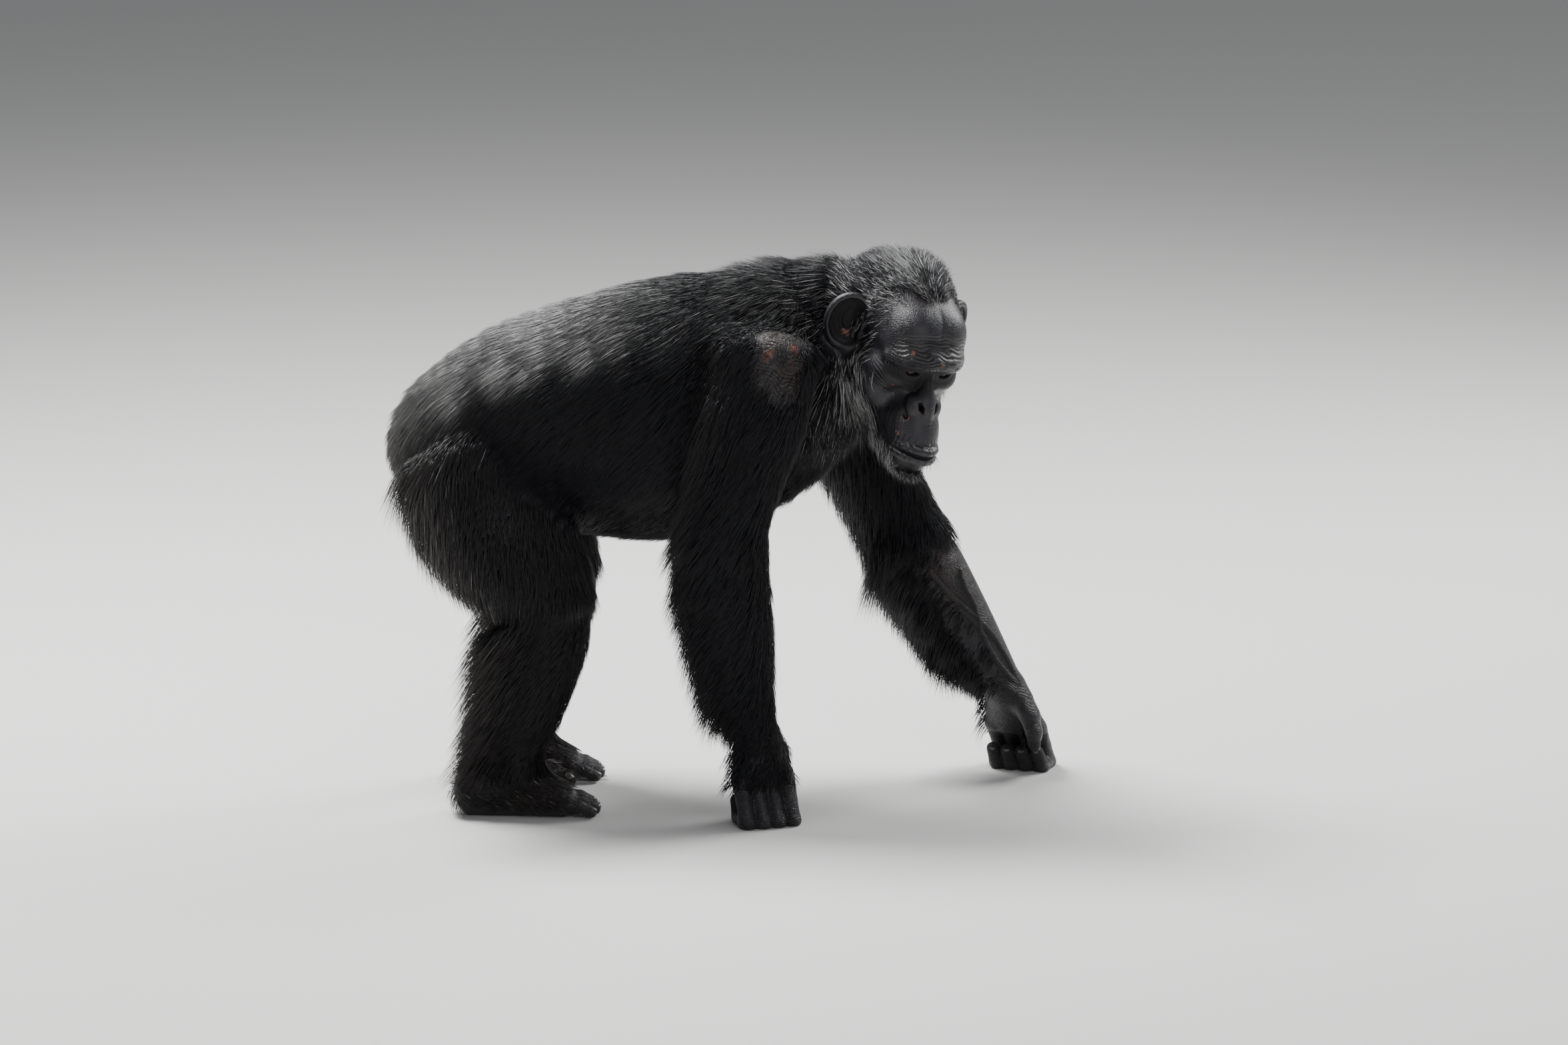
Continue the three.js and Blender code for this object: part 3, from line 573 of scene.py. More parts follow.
def headField(p):
    skull = blend(p, ellipsoid(p, (-8, 0, 37), (93, 72, 63)), (ellipsoid, (-42, 0, 6), (56, 62, 56), 20),
                  (ellipsoid, (44, 0, 30), (50, 60, 38), (0, 12, 0), 18))
    for side in (-1, 1):
        skull = blend(p, skull, (ellipsoid, (54, side * 22, 58), (24, 22, 22), 30),
                      (ellipsoid, (24, side * 44, -38), (48, 30, 54), (0, 24, side * -6), 16),
                      (ellipsoid, (60, side * 44, -10), (28, 20, 18), (0, 0, side * -24), 14))
    skull = blend(p, skull, (ellipsoid, (60, 0, -4), (34, 54, 36), 12))
    muzzle = blend(p, ellipsoid(p, (112, 0, -68), (58, 34, 36), (0, 50, 0)),
                   (ellipsoid, (100, 0, -104), (48, 30, 23), (0, 8, 0), 12),
                   (ellipsoid, (56, 0, -72), (58, 43, 46), (0, 32, 0), 20))
    brow = [(97.5 - 31 * s * s, 54 * s, 35 - 16 * s * s) for s in np.linspace(-1.04, 1.04, 13)]
    browRadii = [5, 9.5, 12.5, 13.6, 13.4, 12, 11, 12, 13.4, 13.6, 12.5, 9.5, 5]
    face = blend(p, smoothMin(skull, muzzle, 16), (rod, brow, browRadii, 15))
    for side in (-1, 1):
        eye = (76, side * 25, 9)
        under = [(82, side * 12, -4), (86, side * 21, -10), (83, side * 33, -9), (73, side * 43, -1)]
        hood = [(84, side * 11, 12), (90, side * 19, 17), (88, side * 31, 17), (78, side * 41, 10)]
        lids = blend(p, ellipsoid(p, eye, (15.0, 17, 15.0)), (rod, hood, [3, 4, 4, 2.5], 4))
        face = smoothMin(blend(p, face, (rod, under, [3, 4.5, 4.5, 3], 8)), lids, 5)
        face = blend(p, face, (ellipsoid, (90, side * 26, 9.2), (13, 10, 4.2), (0, 0, side * 16), -2.2))
        face = np.maximum(face, 12.3 - np.linalg.norm(p - np.array(eye), axis=-1))
    face = smoothMin(face, noseField(p), 3)
    for side in (-1, 1):
        nostril = [(117, side * 12.5, -22), (121, side * 10.5, -26.5), (125.5, side * 7, -31.5)]
        inward = [(120, side * 9.5, -27), (108, side * 8, -32)]
        face = blend(p, face, (rod, noseEdge(side), [0.8, 2.6, 3.0, 2.8, 2.2], -3),
                     (rod, nostril, [2.4, 3.5, 2.4], -2), (rod, inward, [3.2, 2.6], -1.5),
                     (rod, cheekFold(side), [0.6, 1.8, 1.5, 0.6], -4))
    fade = np.abs(mouthSteps) ** 3
    philtrum = [(127, 0, -31), (131.5, 0, -36), (136.5, 0, -43)]
    return blend(p, face, (rod, philtrum, [0.8, 1.0, 0.8], -1.5), (rod, mouthArc(-4, 5), 5.6 - 3 * fade, 6),
                 (rod, mouthArc(-4, -8.5), 7.4 - 4.4 * fade, 5),
                 (rod, mouthArc(-0.5, -1.4), 2.3 - 1.0 * fade, -1.2))


# Creases: round the lower edge of the nose, and from beside it down past the corner of the mouth
def noseEdge(side):
    return [(97, side * 30, -28), (108, side * 30, -39), (119, side * 23, -47), (129, side * 11, -50),
            (134, 0, -48)]


def cheekFold(side):
    return [(92, side * 32, -18), (104, side * 36, -40), (110, side * 39, -60), (112, side * 41, -80)]


# The nose: a low heart with its wings at the nostrils and its tip over the upper lip
def noseField(p):
    wings = [(ellipsoid, (109, side * 15.5, -32), (17.5, 12, 13.5), (0, 50, side * -8), 4)
             for side in (-1, 1)]
    return blend(p, rod(p, [(90, 0, 8), (101, 0, -6), (109, 0, -18)], [6.5, 7.5, 10]),
                 (ellipsoid, (112, 0, -27), (25, 17, 14), (0, 50, 0), 5),
                 (rod, [(120, 0, -33), (130, 0, -41)], [12, 6.5], 4), *wings)


def noseShare(p):
    return fall(0.5, 3.0, noseField(p))


# How far a place lies above the arch of the brow
def aboveBrow(p):
    return p[:, 2] - (37 - 17 * (p[:, 1] / 56) ** 2)


# Folds of the face: how deep they are and their phase, over the brow, under each eye and on the lips
def faceFolds(p, normals):
    x, y, z = p.T
    wide, arch = np.abs(y), aboveBrow(p)
    warp = 2.4 * waves(p, 38, 5) + 0.25 * waves(p, 16, 6)
    gap = np.clip(0.7 + 0.5 * waves(p * np.array([1, 0.5, 1]), 22, 9), 0, 1)
    front = ramp(25, 60, x) * ramp(0.0, 0.4, normals[:, 0])
    depth = front * ramp(-10, -4, arch) * fall(18, 40, arch) * fall(48, 62, wide) * gap
    families = [(depth, (arch + warp) / 4.2)]
    for side in (-1, 1):
        ring = np.hypot((y - side * 27) * 0.85, z - 11)
        below = ramp(13, 16, ring) * fall(34, 48, ring) * front * fall(2, 9, arch + 12)
        families.append((below * gap * (side * y > 0), (ring + warp) / 3.0))
    pucker = 0.4 * ramp(112, 130, x) * ramp(-102, -92, z) * fall(-66, -54, z)
    families.append((pucker, (52 * np.arctan2(y, x - 84) + 1.5 * waves(p, 16, 3)) / (2 * math.pi)))
    cheek = 0.32 * gap * ramp(60, 84, x) * ramp(26, 34, wide)
    families.append((cheek * fall(-22, -10, z) * ramp(-96, -80, z), (x * 0.8 + z * 0.5 + 4 * warp) / 5.6))
    depth, turns = families[0]
    for share, ownTurns in families[1:]:
        turns = np.where(share > depth, ownTurns, turns)
        depth = np.maximum(depth, share)
    return depth * (1 - noseShare(p)), 2 * math.pi * turns


def headDents(p, normals):
    depth, phase = faceFolds(p, normals)
    arch = aboveBrow(p)
    ridges = ramp(-9, -3, arch) * fall(2, 9, arch) * waves(p, 13, 8)
    out = 0.42 * depth * np.sin(phase / 2) * (arch > -12) + 0.9 * depth * ridges
    front = ramp(25, 60, p[:, 0]) * ramp(0.1, 0.5, normals[:, 0])
    middle = np.exp(-(p[:, 1] / 4.5) ** 2) * ramp(14, 26, arch) * fall(60, 84, arch)
    return out - 0.9 * front * middle


def netOf(field, low, high, step, passes=2):
    low, high = np.array(low), np.array(high)
    closed = lambda p: np.maximum(field(p), outsideBox(p, low + step * 1.5, high - step * 1.5))
    points, quads = surfaceNet(sampleField(closed, low, high, step))
    return spread(points, quads, len(points), passes), quads


# The skin is worked out in blocks; a block's form is cut off square where the next one takes over
headBlock = {"low": (-108, -134, -144), "high": (182, 134, 124), "step": 1.4}
footBlock = {"low": (-404, 30, -9), "high": (-160, 160, 124), "step": 2.3}
handBlocks = {
    "Left": {"low": (228, 84, -9), "high": (486, 216, 338), "step": 2.2},
    "Right": {"low": (-72, -214, -9), "high": (118, -78, 338), "step": 2.2},
}
trunkBlock = {"low": (-494, -210, 60), "high": (330, 210, 800), "step": 6.0}
# Each hand has its own frame at the wrist: x out of its back, y across it and z up
hands = {
    "Right": {"wrist": (43, -140, 116), "knuckle": -54, "floor": -108.5, "turn": -72, "lean": 0.06,
              "thumb": 1},
    "Left": {"wrist": (400, 145, 112), "knuckle": -50, "floor": -104.5, "turn": 72, "lean": 0.16,
             "thumb": -1},
}
fingerRadii = [13.5, 11.6, 12.5, 11.6, 10.4]


def toHand(p, hand):
    q = p - np.array(hand["wrist"], float)
    q[:, 0] += hand["lean"] * q[:, 2]
    return q @ rotation("z", hand["turn"])


def fromHand(q, hand):
    p = np.atleast_2d(np.asarray(q, float)) @ rotation("z", hand["turn"]).T
    p[:, 0] -= hand["lean"] * p[:, 2]
    return p + np.array(hand["wrist"], float)


def handRods(hand):
    rods = []
    for i in range(4):
        across, shorter = (i - 1.5) * 21.5, 2.2 * abs(i - 1.4)
        knuckle, middle, tip = np.array([[14, across, hand["knuckle"]], [38 - shorter, across, hand["floor"]],
                                         [-4 + shorter, across, hand["floor"]]])
        curl = tip + np.array([-7, 0, 22])
        half = (knuckle + middle) / 2 + np.array([1.5, 0, 0])
        rods.append(([knuckle, half, middle, tip, curl], fingerRadii))
    side = hand["thumb"]
    thumb = [(-10, side * 20, -6), (-20, side * 33, -24), (-26, side * 38, -46), (-25, side * 35, -67)]
    return rods, (np.array(thumb, float), [20, 15.5, 12, 9.5])


def addDigits(p, value, rods, big, bend, join):
    digits = blend(p, np.full(len(p), farAway), *[(rod, *sizes, 3, 1.2) for sizes in rods])
    return smoothMin(smoothMin(value, digits, 6), rod(p, *big, bend), join)


def handField(p, hand):
    q = toHand(p, hand)
    knuckle = hand["knuckle"]
    palm = makeChain([[-6, 0, 14, 27, 29], [7, 0, knuckle * 0.5, 23, 40], [14, 0, knuckle, 18, 43]])
    return addDigits(q, chainField(q, palm), *handRods(hand), 6, 7)


def armField(p, side):
    value = smoothMin(bodyField(p, [f"upperArm{side}", f"forearm{side}"]), handField(p, hands[side]), 10)
    if side == "Left":
        value = blend(p, value, *[(rod, line, [3.3] * len(line), 2.5) for line in veins])
    return smoothMax(value, -p[:, 2], 2)


# A place on one of the lengths: how far along it, and how far round from its side to its rear
def onSurface(name, where, angle, lift):
    chain = chains[name]
    spot = where * (len(chain["centre"]) - 1)
    i = min(int(spot), len(chain["centre"]) - 2)
    centre, side, depth, half = (chain[key][i] + (chain[key][i + 1] - chain[key][i]) * (spot - i)
                                 for key in ("centre", "side", "depth", "half"))
    return centre + side * (half[1] + lift) * math.cos(angle) - depth * (half[0] + lift) * math.sin(angle)


# Raised veins on the bare inner face of the left forearm, from the crook to the wrist
def veinLine(start, end, firstTurn, lastTurn, sway):
    line = []
    for t in np.linspace(0, 1, 12):
        turn = math.radians(firstTurn + (lastTurn - firstTurn) * t + sway * math.sin(7 * t))
        line.append(onSurface("forearmLeft", start + (end - start) * t, turn, 0.2))
    return line


veins = [veinLine(0.2, 0.95, 176, 118, 7), veinLine(0.46, 0.97, 168, 140, -6),
         veinLine(0.3, 0.6, 128, 150, 4)]


def toeRods(side):
    rods = []
    for i in range(4):
        reach = 44 - 5 * abs(i - 1.3)
        y = side * 100 + (i - 1.5) * 20
        rods.append(([(-222, y, 20), (-226 + reach * 0.6, y, 17), (-226 + reach, y, 9.5)], [9.2, 8.4, 8.6]))
    big = [(-292, side * 81, 20), (-258, side * 53, 19), (-226, side * 33, 12.5)]
    return rods, (big, [18, 13.5, 12])


def footField(p, side):
    name = "Left" if side > 0 else "Right"
    value = addDigits(p, bodyField(p, [f"shin{name}", f"foot{name}"], 14), *toeRods(side), 8, 8)
    return smoothMax(value, -p[:, 2], 2)


def headAndNeck(p):
    body = bodyField(fromHead(p), ["neck", "torso"], 20)
    value = smoothMin(headField(p), body, 26)
    for side in (-1, 1):
        value = smoothMin(value, earField(p, side), 7)
    return value


overlap = 12  # mm by which the trunk reaches into the other blocks


def trunkField(p):
    value = bodyField(p)
    inHead = toHead(p)
    value = smoothMin(value, ellipsoid(inHead, (-30, 0, 10), (60, 60, 60)), 26)
    blocks = [(inHead, headBlock)] + [(p, block) for block in handBlocks.values()]
    blocks += [(p * np.array([1, side, 1]), footBlock) for side in (-1, 1)]
    for q, block in blocks:
        inside = -outsideBox(q, np.array(block["low"]) + overlap, np.array(block["high"]) - overlap)
        value = np.maximum(value, inside)
    return value


# Marks on the skin: where it is brownish, frosted with grey, or ruddy with small scabs
def spots(p, places):
    value = np.zeros(len(p))
    for centre, size in places:
        away = np.linalg.norm(p - np.array(centre, float), axis=1) / size
        value = np.maximum(value, fall(0.45, 0.95, away + 0.4 * waves(p, size * 1.1, 17)))
    return value


skinMarks = {
    "headRuddy": [((88, -39, 42), 4.5), ((92, -38, 33), 2.6), ((108, 2, 38), 4.0), ((85, -45, -16), 3.2),
                  ((121, -26, -44), 3.4), ((125, -32, -67), 2.6), ((-12, -82, -4), 7.0), ((96, 22, 22), 3.0)],
    "bodyRuddy": [((70, -176, 640), 10), ((92, -168, 668), 8), ((54, -182, 690), 8), ((86, -170, 612), 9),
                  ((60, -180, 662), 8), ((100, -160, 640), 9), ((78, -176, 626), 8)],
}
skinMaterial = makeSkinMaterial("skinBare", 210.0, 0.7, (1.0, 1.0, 1.0), 0.0014)
faceMaterial = makeSkinMaterial("skinFace", 260.0, 0.28, (1.0, 1.0, 1.6), 0.0006)
palmMaterial = makeSkinMaterial("skinHands", 260.0, 0.8, (1.0, 1.0, 1.8), 0.0012)
skins = {}
skinLimit = 190000  # triangles in one piece
plainFold = 0.06  # shallower folds than this may be thinned


def countTriangles(mesh):
    return sum(len(face.vertices) - 2 for face in mesh.polygons)


# A net over the limit is thinned, but not where the skin is folded
def thin(piece):
    most = skinLimit / countTriangles(piece.data)
    if most < 1:
        folds = np.zeros(len(piece.data.vertices), np.float32)
        piece.data.attributes["fold"].data.foreach_get("value", folds)
        plain = piece.vertex_groups.new(name="plain")
        plain.add(np.flatnonzero(folds < plainFold).tolist(), 1.0, "REPLACE")
        thinner = piece.modifiers.new("thinner", "DECIMATE")
        thinner.ratio, thinner.vertex_group = most, plain.name
        worked = piece.evaluated_get(bpy.context.evaluated_depsgraph_get())
        mesh = bpy.data.meshes.new_from_object(worked)
        piece.modifiers.clear()
        piece.data = mesh
        piece.vertex_groups.clear()


def makeSkin(name, points, quads, material, marks, replaced):
    piece = buildMesh(name, toWorld(points), [quads], material, marks)
    thin(piece)
    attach(piece, "root")
    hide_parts(*replaced)
    skins[name] = {"points": points, "quads": quads, "normals": vertexNormals(points, quads)}
    print("skin:", name, countTriangles(piece.data), "triangles")


# Painted shade on the face: black under the brow, in the ear cups and nostrils, along the mouth, and in the
# creases of the nose, cheeks and philtrum
def faceShade(p):
    x, y, z = p.T
    shade = 0.95 * earDepth(p)
    belowBrow = ramp(30, 55, x) * fall(-13, -7, aboveBrow(p))
    lines = [(0.6, 0, 2, [(127, 0, -32), (136, 0, -43), (141, 0, -54)], [0.6, 0.8, 0.4]),
             (1, 1.5, 3.2, mouthArc(-2.0, -1.4), 0.5 * np.ones_like(mouthSteps))]
    for side in (-1, 1):
        socket = fall(15, 36, np.hypot((y - side * 25) * 0.72, (z - 11) * 1.1))
        shade = np.maximum(shade, 0.92 * socket * belowBrow)
        lines += [(1, 0.0, 1.8, [(117, side * 11.5, -23.5), (121, side * 8.5, -29)], [3.0, 3.0]),
                  (0.75, -0.5, 3.5, noseEdge(side), [0.5, 1.2, 1.4, 1.2, 0.8]),
                  (0.5, -0.5, 3.5, cheekFold(side), [0.4, 1.0, 1.0, 0.4])]
    for strength, near, far, line, radii in lines:
        shade = np.maximum(shade, strength * fall(near, far, rod(p, line, radii)))
    return shade


def makeHeadSkin():
    points, quads = netOf(headAndNeck, **headBlock)
    normals = vertexNormals(points, quads)
    depth, phase = faceFolds(points, normals)
    points = points + normals * headDents(points, normals)[:, None]
    scabs = spots(points, skinMarks["headRuddy"])
    grey = 0.14 * ramp(40, 60, points[:, 0]) * ramp(56, 72, points[:, 2])
    marks = {
        "warm": np.clip(0.2 + 0.5 * waves(points, 40, 21), 0, 1) * 0.3,
        "frostAndSheen": np.clip(grey * (0.6 + 0.5 * waves(points, 18, 22)), 0, 1),
        "ruddy": scabs * (0.75 + 0.25 * waves(points, 5, 24)),
        "fold": depth, "phase": phase, "shade": faceShade(points) * (1 - 0.9 * scabs),
    }
    makeSkin("skinHead", fromHead(points), quads, faceMaterial, marks, ["head", "ear_left", "ear_right"])
    skins["skinHead"]["inHead"] = points


# Marks of the body: the bare patch on the near shoulder is wrinkled, and so are wrists and knuckles
def bodyMarks(points, warm, fold=0.0, phase=0.0):
    return {
        "warm": np.clip(warm * (0.7 + 0.4 * waves(points, 50, 31)), 0, 1),
        "frostAndSheen": np.clip(0.05 + 0.08 * waves(points, 30, 32), 0, 1),
        "ruddy": spots(points, skinMarks["bodyRuddy"]) * 0.8,
        "fold": fold * np.ones(len(points)), "phase": phase * np.ones(len(points)),
        "shade": np.zeros(len(points)),
    }


def shoulderPatch(p):
    away = (((p - np.array([76, -168, 655])) / np.array([36, 64, 62])) ** 2).sum(1)
    return fall(0.45, 1.25, away + 0.3 * waves(p, 34, 39))


def armMarks(points, side):
    hand, left = hands[side], side == "Left"
    x, z = points[:, 0], points[:, 2]
    q = toHand(points, hand)
    warp = 2.4 * waves(points, 30, 33) + 0.8 * waves(points, 11, 34)
    wrist = np.exp(-((q[:, 2] - 6) / 26) ** 2)
    joints = (hand["knuckle"], 12), (hand["floor"], 9)
    knuckles = sum(np.exp(-((q[:, 2] - height) / size) ** 2) for height, size in joints)
    fold = np.clip(0.8 * wrist + 0.55 * knuckles + 0.28 * left * ramp(120, 160, z), 0, 0.9)
    fold = fold * np.clip(0.7 + 0.5 * waves(points, 26, 35), 0, 1)
    phase = 2 * math.pi * (z + 0.45 * left * x + warp) / 3.4
    crook = ramp(190, 300, z) * left
    brown = 0.10 + 0.9 * crook * np.clip(0.5 + 0.7 * waves(points, 24, 36), 0, 1)
    marks = bodyMarks(points, brown, fold, phase)
    bare = ramp(90, 130, z) * left
    marks["frostAndSheen"] = np.clip(0.04 * bare * (1 - crook) + 0.01 + 0.10 * waves(points, 22, 37), 0, 1)
    # Painted shade low on the palm side of the fingers, next to the floor
    under = (q[:, 2] < -60) * (q[:, 0] < 16) * fall(14, 22, q[:, 0]) * ramp(-104, -96, q[:, 2])
    marks["shade"] = 0.6 * under
    # Painted shade: a dark line along each side of each vein, so that it reads raised
    for line in veins if left else []:  # a dark line on each side of each vein
        away = rod(points, line, [0.1] * len(line))
        marks["shade"] = np.maximum(marks["shade"], 0.7 * np.exp(-((away - 4.6) / 1.7) ** 2))
    return marks


def makeBodySkins():
    points, quads = netOf(trunkField, **trunkBlock, passes=4)
    patch = shoulderPatch(points)
    names = ["neck", "chest", "belly", "rump"]
    names += [f"{part}_{side}" for part in ("thigh", "lower_leg", "upper_arm") for side in ("left", "right")]
    phase = 2 * math.pi * (points[:, 2] + 0.5 * points[:, 0] + 9 * waves(points, 30, 38)) / 7
    marks = bodyMarks(points, 0.12 + 0.75 * patch, 0.6 * patch, phase)
    marks["shade"] = 0.45 * patch * (0.6 + 0.5 * waves(points, 26, 40))
    makeSkin("skinTrunk", points, quads, skinMaterial, marks, names)
    for side in hands:
        points, quads = netOf(lambda p: armField(p, side), **handBlocks[side])
        points[:, 2] = np.maximum(points[:, 2], 0)
        replaced = [f"{part}_{side.lower()}" for part in ("forearm", "hand")]
        makeSkin(f"skinArm{side}", points, quads, palmMaterial, armMarks(points, side), replaced)
    for side, low in ((1, "left"), (-1, "right")):
        turned = np.array([1, side, 1])
        points, quads = netOf(lambda p: footField(p * turned, side), **footBlock)
        points[:, 2] = np.maximum(points[:, 2], 0)
        points, quads = points * turned, quads[:, ::side]
        makeSkin(f"skinFoot_{low}", points, quads, palmMaterial, bodyMarks(points, 0.12), [f"foot_{low}"])


makeHeadSkin()
makeBodySkins()


# Coat: which way the hair lies along each length, with a pull of its own
lie = {
    "torso": (-0.85, (0, 0, -0.6)), "neck": (-1.0, (0, 0, -0.35)), "thigh": (1.0, (-0.55, 0, -0.1)),
    "shin": (1.0, (-0.6, 0, 0)), "foot": (0.9, (0.2, 0, -0.5)), "upperArm": (1.0, (-0.45, 0, 0)),
    "forearm": (0.8, (-0.85, 0, -0.2)),
}
# Length and stand-off in mm, what the rear fringe adds to each, and thickness of growth
coatRules = {
    "torso": (54, 11, -4, -6, 1.0), "neck": (52, 17, 0, 0, 1.3), "thigh": (46, 7, 24, 29, 1.0),
    "shin": (36, 6, 40, 54, 1.1), "foot": (20, 3, 14, 8, 0.9), "upperArm": (52, 9, 16, 26, 1.0),
    "forearm": (44, 9, 32, 40, 1.2),
}


def belongs(which, *names):
    return np.isin(which, [number for number, name in enumerate(chains) if name.startswith(names)])


def towards(value, target, share):
    return value + (target - value) * (share[:, None] if value.ndim > 1 else share)


def describeCoat(skin):
    p, normals = skin["points"], skin["normals"]
    which, where, angle = nearestLength(p)
    flow = np.zeros_like(p)
    length, lift, growth = np.zeros((3, len(p)))
    rear = np.clip(-normals[:, 0], 0, 1) ** 1.3
    for number, (name, chain) in enumerate(chains.items()):
        here = which == number
        kind = name.replace("Left", "").replace("Right", "")
        forward, pull = lie[kind]
        i = (where[here] * (len(chain["centre"]) - 1)).astype(int)
        flow[here] = forward * chain["along"][i] + np.array(pull)
        if kind == "torso":  # the hair turns down over the rump
            flow[here, 2] -= 1.6 * fall(0.0, 0.35, where[here])
        ownLength, ownLift, rearLength, rearLift, growth[here] = coatRules[kind]
        length[here] = ownLength + rearLength * rear[here]
        lift[here] = ownLift + rearLift * rear[here]
    x, z, up = p[:, 0], p[:, 2], normals[:, 2]
    torso, feet = belongs(which, "torso"), belongs(which, "foot")
    legs = belongs(which, "thigh", "shin", "foot")
    # Thinner and shorter on the belly, the bare shoulder and the hip, fuller over the shoulders
    under = torso * ramp(0.2, 0.8, -up)
    length -= 22 * under
    lift -= 4 * under
    growth *= 1 - 0.45 * under
    lift += 15 * ramp(10, 60, x) * ramp(0.3, 0.8, up) * belongs(which, "torso", "neck")
    patch = shoulderPatch(p)
    hip = np.exp(-(((p - np.array([-312, -165, 455])) / np.array([50, 60, 52])) ** 2).sum(1))
    growth *= (1 - 0.93 * patch) * (1 - 0.4 * hip)
    lift *= (1 - 0.5 * patch) * (1 - 0.5 * hip)
    length *= 1 - 0.35 * hip
    # Silver along the back: grey hair with a painted sheen, strongest where the coat faces up and back. A
    # little grey on rump, loins and feet, a faint grey on the upper faces of the fore body, and brown on the
    # legs
    high = ramp(0.46, 1.04, up - 0.18 * normals[:, 0] + 0.12 * waves(p, 70, 52))
    silverAndSheen = torso * fall(-240, 0, x) * high ** 1.2 * ramp(505, 640, z)
    rump = torso * fall(-420, -300, x) * (1 - silverAndSheen)
    frostAndSheen = 1.1 * silverAndSheen * (0.85 + 0.25 * waves(p, 90, 51)) + 0.10 * rump + 0.03 * feet
    frostAndSheen += 0.10 * torso * ramp(0.3, 0.9, up) * ramp(-100, 60, x)
    frostAndSheen += 0.07 * legs * ramp(0, 0.7, rear) * ramp(250, 330, z)
    warm = 0.45 * legs * ramp(-0.2, 0.6, rear) + 0.3 * rump + 0.1 * (1 - legs) * ramp(0, 1, rear)
    warm += 0.5 * feet * ramp(-340, -300, x)
    # Bare toes, soles, fingers and palms, short hair at the wrists, and the bare inner left forearm
    growth *= 1 - feet * np.maximum(ramp(-238, -214, x), fall(14, 26, z))
    for hand in hands.values():
        q = toHand(p, hand)
        beside = np.abs(q[:, 1]) < 70
        nearHand = beside * (np.abs(q[:, 0]) < 70) * fall(8, 30, q[:, 2])
        facingBack = (normals @ rotation("z", hand["turn"]))[:, 0]
        back = ramp(-0.2, 0.4, facingBack) * ramp(-62, -44, q[:, 2])
        growth *= 1 - nearHand * (1 - 0.9 * back)
        nearWrist = beside * (np.abs(q[:, 0]) < 90) * fall(10, 90, q[:, 2])
        length *= 1 - 0.5 * nearWrist
        lift *= 1 - 0.6 * nearWrist
    inner = belongs(which, "forearmLeft") * ramp(-0.04, 0.2, where + 0.06 * waves(p, 30, 54))
    facing = 0.95 * normals[:, 0] - 0.45 * normals[:, 1] + 0.2 * waves(p, 38, 53)
    growth *= 1 - 0.995 * inner * ramp(0.02, 0.5, facing)
    length *= 1 - 0.6 * inner * ramp(-0.1, 0.6, facing)
    lift *= 1 - 0.7 * inner * ramp(-0.3, 0.5, facing)
    shoulder = belongs(which, "upperArm") * fall(0.05, 0.4, where)
    lift *= 1 - 0.65 * shoulder
    length *= 1 - 0.25 * shoulder
    skin.update(which=which, where=where, angle=angle)
    mess = np.full(len(p), 0.13)
    return flow, {"length": length, "lift": lift, "growth": growth, "frostAndSheen": frostAndSheen, "warm": warm,
                  "mess": mess}


# How far forward the hair grows on the side of the head, by height
hairline = {"z": (-130, -96, -74, -40, -8, 19, 72, 92), "x": (84, 84, 62, 36, 22, 4, 2, 2)}


